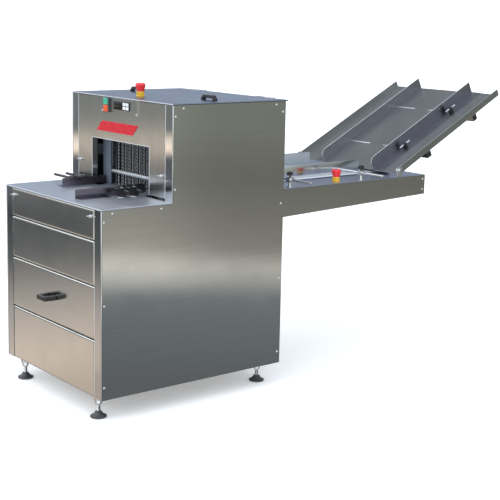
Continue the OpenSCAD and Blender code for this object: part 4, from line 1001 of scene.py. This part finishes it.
footShape = {"flange": [(2, 0), (0, 1.5), (0, 6), (1.5, 7.5), (6, 9), (12, 13)],
             "neck": [(17, 19), (15, 22), (13, 23)], "top": [(13, 1), (12, 0), (1, 0)], "sides": 48,
             "pitch": 2.4, "core": 7.3, "crest": 8, "crestSpan": (0.45, 0.6), "stemSides": 24,
             "merge": 0.0001,
             "nuts": ((0.0195, 0.025), (0.0145, 0.016)),  # (radius, height) from the cabinet down
             "nutEdge": 0.0012, "nutEdgeSteps": 2}


def threadedStem(tall):
    # one turn of the thread as a ring, repeated by an array and closed at its ends
    pitch, core, crest = (footShape[k] for k in ("pitch", "core", "crest"))
    rise, fall = (share * pitch for share in footShape["crestSpan"])
    stem = turned([(core, 0), (crest, rise), (crest, fall), (core, pitch)], footShape["stemSides"])
    editAll(stem)
    pickFaces(stem, lambda c, n: abs(n.z) > facing)
    bpy.ops.mesh.delete(type="FACE")
    bpy.ops.object.mode_set(mode="OBJECT")
    thread = stem.modifiers.new("thread", "ARRAY")
    thread.count = round(tall / pitch)
    thread.use_relative_offset = False
    thread.use_constant_offset = True
    thread.constant_offset_displace = (0, 0, tall / thread.count / 1000)
    thread.use_merge_vertices = True
    thread.merge_threshold = footShape["merge"]
    editAll(applyModifiers(stem))
    bpy.ops.mesh.select_mode(type="EDGE")
    bpy.ops.mesh.select_all(action="DESELECT")
    bpy.ops.mesh.select_non_manifold()
    bpy.ops.mesh.fill_holes(sides=0)
    return endEdit()


def addFeet():
    name = "foot_pads"
    pads = solidsOf(name)
    outer, tall = (pads[0][1].x - pads[0][0].x) * 500, pads[0][1].z * 1000
    rings = [(outer - inward, up) for inward, up in footShape["flange"]] + footShape["neck"]
    rings += [(radius, tall - down) for radius, down in footShape["top"]]
    bases = copyTo(turned(rings, footShape["sides"]), [atCentre(pad, 0) for pad in pads])
    finishPiece(bases, "footBases", greyPlastic, bodyOf(name), "grey_plastic", name)
    name = "foot_stems"
    low, high = solidsOf(name)[0]
    z = high.z - low.z
    parts = [threadedStem(z * 1000)]
    for radius, height in footShape["nuts"]:
        column(6, radius, (0, 0, z - height / 2), height)
        roundEdges(footShape["nutEdge"], footShape["nutEdgeSteps"])
        parts.append(endEdit())
        z -= height
    stems = copyTo(joined(*parts), [atCentre(pad, low.z) for pad in pads])
    finishPiece(stems, "footStems", zincSteel, bodyOf(name), "bright_steel", name)


addFeet()
print("feet made")


# controls: the twin button block, the counter and the screws of the plate behind them

controlShape = {"boxRound": 0.003, "boxFloor": 0.002, "wellGap": 0.0006, "wellOut": 0.02, "wellRound": 0.0001,
                "capRound": 0.0035, "capSteps": 4, "dishEdge": 0.003, "dishDepth": 0.0008,
                "caseRound": 0.002, "bezel": 0.004, "sunk": 0.002,
                "screenProud": 0.0006, "screenGap": 0.002, "screenRound": 0.0005,
                "keyShare": 0.4, "keyGap": 0.003, "keyEnd": 0.001, "keyProud": 0.0012, "keyRound": 0.0008,
                "screwIn": 0.010, "screwSides": 20,
                "screw": [(5, 0), (5, 0.8), (4.4, 1.9), (3, 2.6), (2, 2.7), (1.8, 2.5), (1.8, 1.2),
                          (0.4, 1.1)]}


def addButtons():
    low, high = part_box("button_box")
    housing = roundedBlock(low, high, controlShape["boxRound"])
    gap, wells = controlShape["wellGap"], []
    for name in ("start_button", "stop_button"):
        a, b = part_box(name)
        well = roundedBlock((a.x - controlShape["wellOut"], a.y - gap, a.z - gap),
                            (high.x - controlShape["boxFloor"], b.y + gap, b.z + gap),
                            controlShape["wellRound"], 1)
        cut = housing.modifiers.new("well", "BOOLEAN")
        cut.object = well
        cut.operation = "DIFFERENCE"
        wells.append(well)
    applyModifiers(housing)
    for well in wells:
        bpy.data.objects.remove(well)
    finishPiece(housing, "buttonHousing", greyPlastic, bodyOf("button_box"), "grey_plastic", "button_box")
    for name, finish, slotName in (("start_button", greenPlastic, "green_plastic"),
                                   ("stop_button", orangePlastic, "orange_plastic")):
        cap = editAll(roundedBlock(*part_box(name), controlShape["capRound"], controlShape["capSteps"]))
        pickFaces(cap, lambda c, n: n.x < -facing)
        bpy.ops.mesh.inset(thickness=controlShape["dishEdge"], depth=-controlShape["dishDepth"])
        finishPiece(endEdit(), name + "Cap", finish, bodyOf(name), slotName, name)


def addCounter():
    name = "counter_display"
    low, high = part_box(name)
    case = roundedBlock(low, high, controlShape["caseRound"])
    finishPiece(case, "counterCase", blackPlastic, bodyOf(name), "black_plastic", name)
    edge, gap, back = controlShape["bezel"], controlShape["keyGap"], low.x + controlShape["sunk"]
    split = low.y + (high.y - low.y) * controlShape["keyShare"]
    front = low.x - controlShape["screenProud"]
    screen = roundedBlock((front, split + controlShape["screenGap"], low.z + edge),
                          (back, high.y - edge, high.z - edge), controlShape["screenRound"])
    finishPiece(screen, "counterScreen", screenPlastic, bodyOf(name), "black_plastic")
    wide = (split - controlShape["keyEnd"] - gap - low.y - edge) / 2
    tall = (high.z - low.z - 2 * edge - gap) / 2
    keys = []
    for across in range(2):
        for up in range(2):
            y, z = low.y + edge + across * (wide + gap), low.z + edge + up * (tall + gap)
            keys.append(roundedBlock((low.x - controlShape["keyProud"], y, z), (back, y + wide, z + tall),
                                     controlShape["keyRound"]))
    finishPiece(joined(*keys), "counterKeys", paleKeys, bodyOf(name), "grey_plastic")


def addPlateScrews():
    low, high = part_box("control_plate")
    inset = controlShape["screwIn"]
    places = [at(low.x, y, low.z + inset, faceFront) for y in (low.y + inset, high.y - inset)]
    screws = copyTo(turned(controlShape["screw"], controlShape["screwSides"]), places)
    finishPiece(screws, "controlPlateScrews", zincSteel, bodyOf("control_plate"), "bright_steel")


addButtons()
addCounter()
addPlateScrews()
print("controls made")


# knobs of the infeed's clamp posts; wall, steps and dip are shares of height and radius

knobShape = {"lobes": 6, "perLobe": 4, "dip": 0.84, "tall": 0.016, "wall": 0.75,
             "steps": ((0.35, 0.12), (0.15, 0.13)), "edge": 0.0012, "edgeSteps": 2, "sharpAbove": 30,
             "neck": [(4, -7.7), (4, -1), (6.5, -0.9), (6.5, 1)], "neckSides": 20}


def starKnob(radius):
    # a circle whose points are drawn in between the lobes, extruded upwards and rounded
    count, tall, dip = knobShape["lobes"] * knobShape["perLobe"], knobShape["tall"], knobShape["dip"]
    deselectAll()
    bpy.ops.mesh.primitive_circle_add(vertices=count, radius=radius, fill_type="NGON")
    knob = editAll(applyPlace(bpy.context.object))

    def betweenLobes(p):
        step = round(math.atan2(p.y, p.x) / (2 * math.pi / count))
        return step % knobShape["perLobe"] == knobShape["perLobe"] // 2

    pickPoints(knob, betweenLobes)
    bpy.ops.transform.resize(value=(dip, dip, 1), center_override=(0, 0, 0))
    bpy.ops.mesh.select_mode(type="FACE")
    bpy.ops.mesh.select_all(action="SELECT")
    extrudeBy(0, 0, tall * knobShape["wall"])
    for inward, up in knobShape["steps"]:
        bpy.ops.mesh.inset(thickness=radius * inward, depth=tall * up)
    knob = endEdit()
    addBevel(knob, knobShape["edge"], knobShape["edgeSteps"], knobShape["sharpAbove"])
    smooth = knob.modifiers.new("smooth", "SUBSURF")
    smooth.levels = smooth.render_levels = 1
    return joined(applyModifiers(knob), turned(knobShape["neck"], knobShape["neckSides"]))


def addInfeedKnobs():
    for place in ("right_front", "right_rear", "left_front", "left_rear"):
        name = "infeed_knob_" + place
        low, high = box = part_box(name)
        knob = copyTo(starKnob((high.x - low.x) / 2), [atCentre(box, high.z - knobShape["tall"])])
        finishPiece(knob, name + "Star", blackPlastic, bodyOf(name), "black_plastic", name)


addInfeedKnobs()


# screws and flanges of the outfeed's clamp posts

postShape = {"screw": [(9, 0), (9, 2), (6.4, 2.4), (6.4, 9), (5.4, 10), (1, 10.2)], "screwSides": 28,
             "screwDown": 0.0101, "flange": [(19, 0), (19, 1.6), (18, 2.4), (1, 2.4)], "flangeSides": 36}


def addOutfeedClamps():
    name = "outfeed_clamp_posts"
    boxes = solidsOf(name)
    screws = copyTo(turned(postShape["screw"], postShape["screwSides"]),
                    [atCentre(box, box[1].z - postShape["screwDown"]) for box in boxes])
    finishPiece(screws, "outfeedClampScrews", zincSteel, bodyOf(name), "bright_steel")
    flanges = copyTo(turned(postShape["flange"], postShape["flangeSides"]),
                     [atCentre(box, box[0].z) for box in boxes])
    finishPiece(flanges, "outfeedPostFlanges", zincSteel, bodyOf(name), "bright_steel")


addOutfeedClamps()
print("clamps made")


# guides of the infeed and the outfeed: an upright sheet, the foot folded out from it and two rods

guideShape = {"sheet": 0.002, "edge": 0.0007, "edgeSteps": 2, "rod": 6, "rodSides": 24, "tip": 0.8,
              "start": 0.1, "footSlack": 0.001, "rodSlack": 0.0005}


def sideBlock(side, x, y, z):
    # a rounded block from (near, far) spans, with y counted outward on the given side
    y0, y1 = sorted((side * y[0], side * y[1]))
    return roundedBlock((x[0], y0, z[0]), (x[1], y1, z[1]), guideShape["edge"], guideShape["edgeSteps"])


def addGuide(node, name, sheetSteel, footSteel, rodFinish, rodSlot):
    low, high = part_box(node)
    side = 1 if low.y > 0 else -1
    near, reach = sorted((abs(low.y), abs(high.y)))
    corners = [v.co for v in nodes[node].data.vertices]
    thick, rod, tip = guideShape["sheet"], guideShape["rod"], guideShape["tip"]
    flat = [c for c in corners if c.z < low.z + thick + hair]
    footWide = max(abs(c.y) for c in flat)
    footEnd = max(c.x for c in flat if abs(c.y) > footWide - guideShape["footSlack"])
    sheet = sideBlock(side, (low.x, high.x), (near, near + thick), (low.z, high.z))
    finishPiece(sheet, name + "Sheet", sheetSteel, bodyOf(node), "stainless", node)
    foot = sideBlock(side, (low.x, footEnd), (near + thick, footWide), (low.z, low.z + thick))
    finishPiece(foot, name + "Foot", footSteel, bodyOf(node), "bright_steel")
    ends = [c for c in corners if abs(c.y) > reach - guideShape["rodSlack"]]
    rodZ = (min(c.z for c in ends) + max(c.z for c in ends)) / 2
    rodX = (min(c.x for c in ends) + rod / 1000, max(c.x for c in ends) - rod / 1000)
    places = [at(x, side * (near + thick), rodZ, faceLeft if side > 0 else faceRight) for x in rodX]
    length = (reach - near - thick) * 1000
    rings = [(rod - tip, 0), (rod, guideShape["start"]), (rod, length - tip), (rod - tip, length),
             (1, length)]
    rods = copyTo(turned(rings, guideShape["rodSides"]), places)
    finishPiece(rods, name + "Rods", rodFinish, bodyOf(node), rodSlot)


addGuide("outfeed_guide_right", "outfeedRight", darkGuideSteel, darkGuideSteel, blackPlastic, "black_plastic")
addGuide("outfeed_guide_left", "outfeedLeft", darkGuideSteel, darkGuideSteel, blackPlastic, "black_plastic")
# the infeed guides are the same kind of sheet, drawn as a shaded copy on the right (polished) and a lit copy
# on the left (paler satin): painted light
addGuide("infeed_guide_right", "infeedRight", mirrorSteel, glareFootSteel, zincSteel, "bright_steel")
addGuide("infeed_guide_left", "infeedLeft", satinSteel, satinSteel, zincSteel, "bright_steel")
print("guides made")


# screws through the infeed's side plates into its end plate

endScrewShape = {"fromEnd": 0.014, "below": (0.022, 0.072), "sides": 20,
                 "rings": [(5.5, 0), (5.5, 0.8), (4.6, 2), (3, 2.8), (0.5, 3)]}


def addEndScrews():
    low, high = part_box("infeed_deck")
    places = [at(high.x - endScrewShape["fromEnd"], y, high.z - drop, turn)
              for y, turn in ((low.y, faceRight), (high.y, faceLeft)) for drop in endScrewShape["below"]]
    screws = copyTo(turned(endScrewShape["rings"], endScrewShape["sides"]), places)
    finishPiece(screws, "infeedEndScrews", zincSteel, bodyOf("infeed_frame"), "bright_steel")


addEndScrews()
print("infeed screws made")


# chute, in its own frame at the pivot: the hems of its sheets, the clamps of its guides, the plugs in the
# ends of its cross tubes, and the bright tops of the tubes that show through the slots

chuteShape = {"angle": 27.2, "lip": 0.006, "top": 0.787, "floor": -0.018, "sheet": 0.002, "wall": 0.032,
              "wallY": 0.3575, "guide": 0.061, "chamfer": 0.022, "tubePlaces": (0.21411, 0.57889),
              "tube": 0.030, "hemMm": 1.7, "hemIn": 0.001, "hemStart": 0.002, "hemFoot": 0.004,
              "clampY": 0.2075, "clampLift": 0.0023, "hubSides": 28, "barLift": 0.0195, "barSides": 16,
              "hub": [(14, 0), (14, 2), (11, 2.8), (10, 12), (12, 15), (12, 23), (9.5, 25), (1, 25.2)],
              "bar": [(3.6, -37), (4.7, -36), (4.7, 36), (3.6, 37), (0.5, 37)],
              "plugIn": 0.012, "plugOut": 0.002, "plugGap": 0.0015,
              "slot": 0.0042, "slotSpan": (0.047, 0.2155), "linerDepth": (0.0018, 0.0002),
              "linerRound": 0.0004}
chutePivot = next(Vector(j["pos_m"]) for j in frame["joints"] if j["name"] == "chute_tilt")
onChute = at(chutePivot.x, 0, chutePivot.z, Matrix.Rotation(-math.radians(chuteShape["angle"]), 4, "Y"))
alongChute = Matrix.Rotation(math.radians(90), 4, "Y")
chuteSides = ((-1, "right"), (1, "left"))


def addChuteHems():
    floor, inset, radius, cut = (chuteShape[k] for k in ("floor", "hemIn", "hemMm", "chamfer"))
    start, end = chuteShape["hemStart"] - chuteShape["lip"], chuteShape["top"] - inset
    wallTop, wallY = floor + chuteShape["wall"] - inset, chuteShape["wallY"] - inset
    walls = joined(*[hemBar((start, y, wallTop), (end, y, wallTop), radius) for y in (-wallY, wallY)])
    finishPiece(applyPlace(walls, onChute), "chuteWallHems", chuteSteel, "chute", "stainless")
    rim, foot = floor + chuteShape["guide"] - inset, floor + chuteShape["hemFoot"]
    for side, name in chuteSides:
        low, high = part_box("chute_guide_" + name)
        y = high.y - inset if side < 0 else low.y + inset
        path = [(start, y, foot), (start, y, rim - cut), (start + cut, y, rim), (end, y, rim), (end, y, foot)]
        hems = joined(*[hemBar(a, b, radius) for a, b in zip(path, path[1:])])
        finishPiece(applyPlace(hems, onChute), "chuteGuideHems_" + name, zincSteel, "chute_" + name,
                    "bright_steel")


def addChuteClamps():
    for side, name in chuteSides:
        y, z = side * chuteShape["clampY"], chuteShape["floor"] + chuteShape["clampLift"]
        hubs, bars = [], []
        for x in chuteShape["tubePlaces"]:
            hub = turned(chuteShape["hub"], chuteShape["hubSides"])
            hubs.append(applyPlace(hub, onChute @ at(x, y, z)))
            bar = turned(chuteShape["bar"], chuteShape["barSides"])
            bars.append(applyPlace(bar, onChute @ at(x, y, z + chuteShape["barLift"], alongChute)))
        finishPiece(joined(*hubs), "chuteClampHubs_" + name, blackPlastic, "chute_" + name, "black_plastic",
                    "chute_clamps_" + name)
        finishPiece(joined(*bars), "chuteClampBars_" + name, zincSteel, "chute_" + name, "bright_steel")


def addChuteTubeEnds():
    floor, gap, wallY = (chuteShape[k] for k in ("floor", "plugGap", "wallY"))
    half, under = chuteShape["tube"] / 2 - gap, floor - chuteShape["sheet"]
    deep, shallow = chuteShape["linerDepth"]
    plugs, liners = [], []
    for x in chuteShape["tubePlaces"]:
        for side, name in chuteSides:
            y0, y1 = sorted((side * (wallY - chuteShape["plugIn"]), side * (wallY + chuteShape["plugOut"])))
            plug = roundedBlock((x - half, y0, under - chuteShape["tube"] + gap),
                                (x + half, y1, under - gap), gap)
            plugs.append(applyPlace(plug, onChute))
            y0, y1 = sorted(side * y for y in chuteShape["slotSpan"])
            liner = roundedBlock((x - chuteShape["slot"], y0, floor - deep),
                                 (x + chuteShape["slot"], y1, floor - shallow), chuteShape["linerRound"], 2)
            liners.append(applyPlace(liner, onChute))
    finishPiece(joined(*plugs), "chuteTubePlugs", blackPlastic, "chute", "black_plastic")
    finishPiece(joined(*liners), "chuteSlotLiners", satinSteel, "chute", "bright_steel")


addChuteHems()
addChuteClamps()
addChuteTubeEnds()
print("chute clamps made")
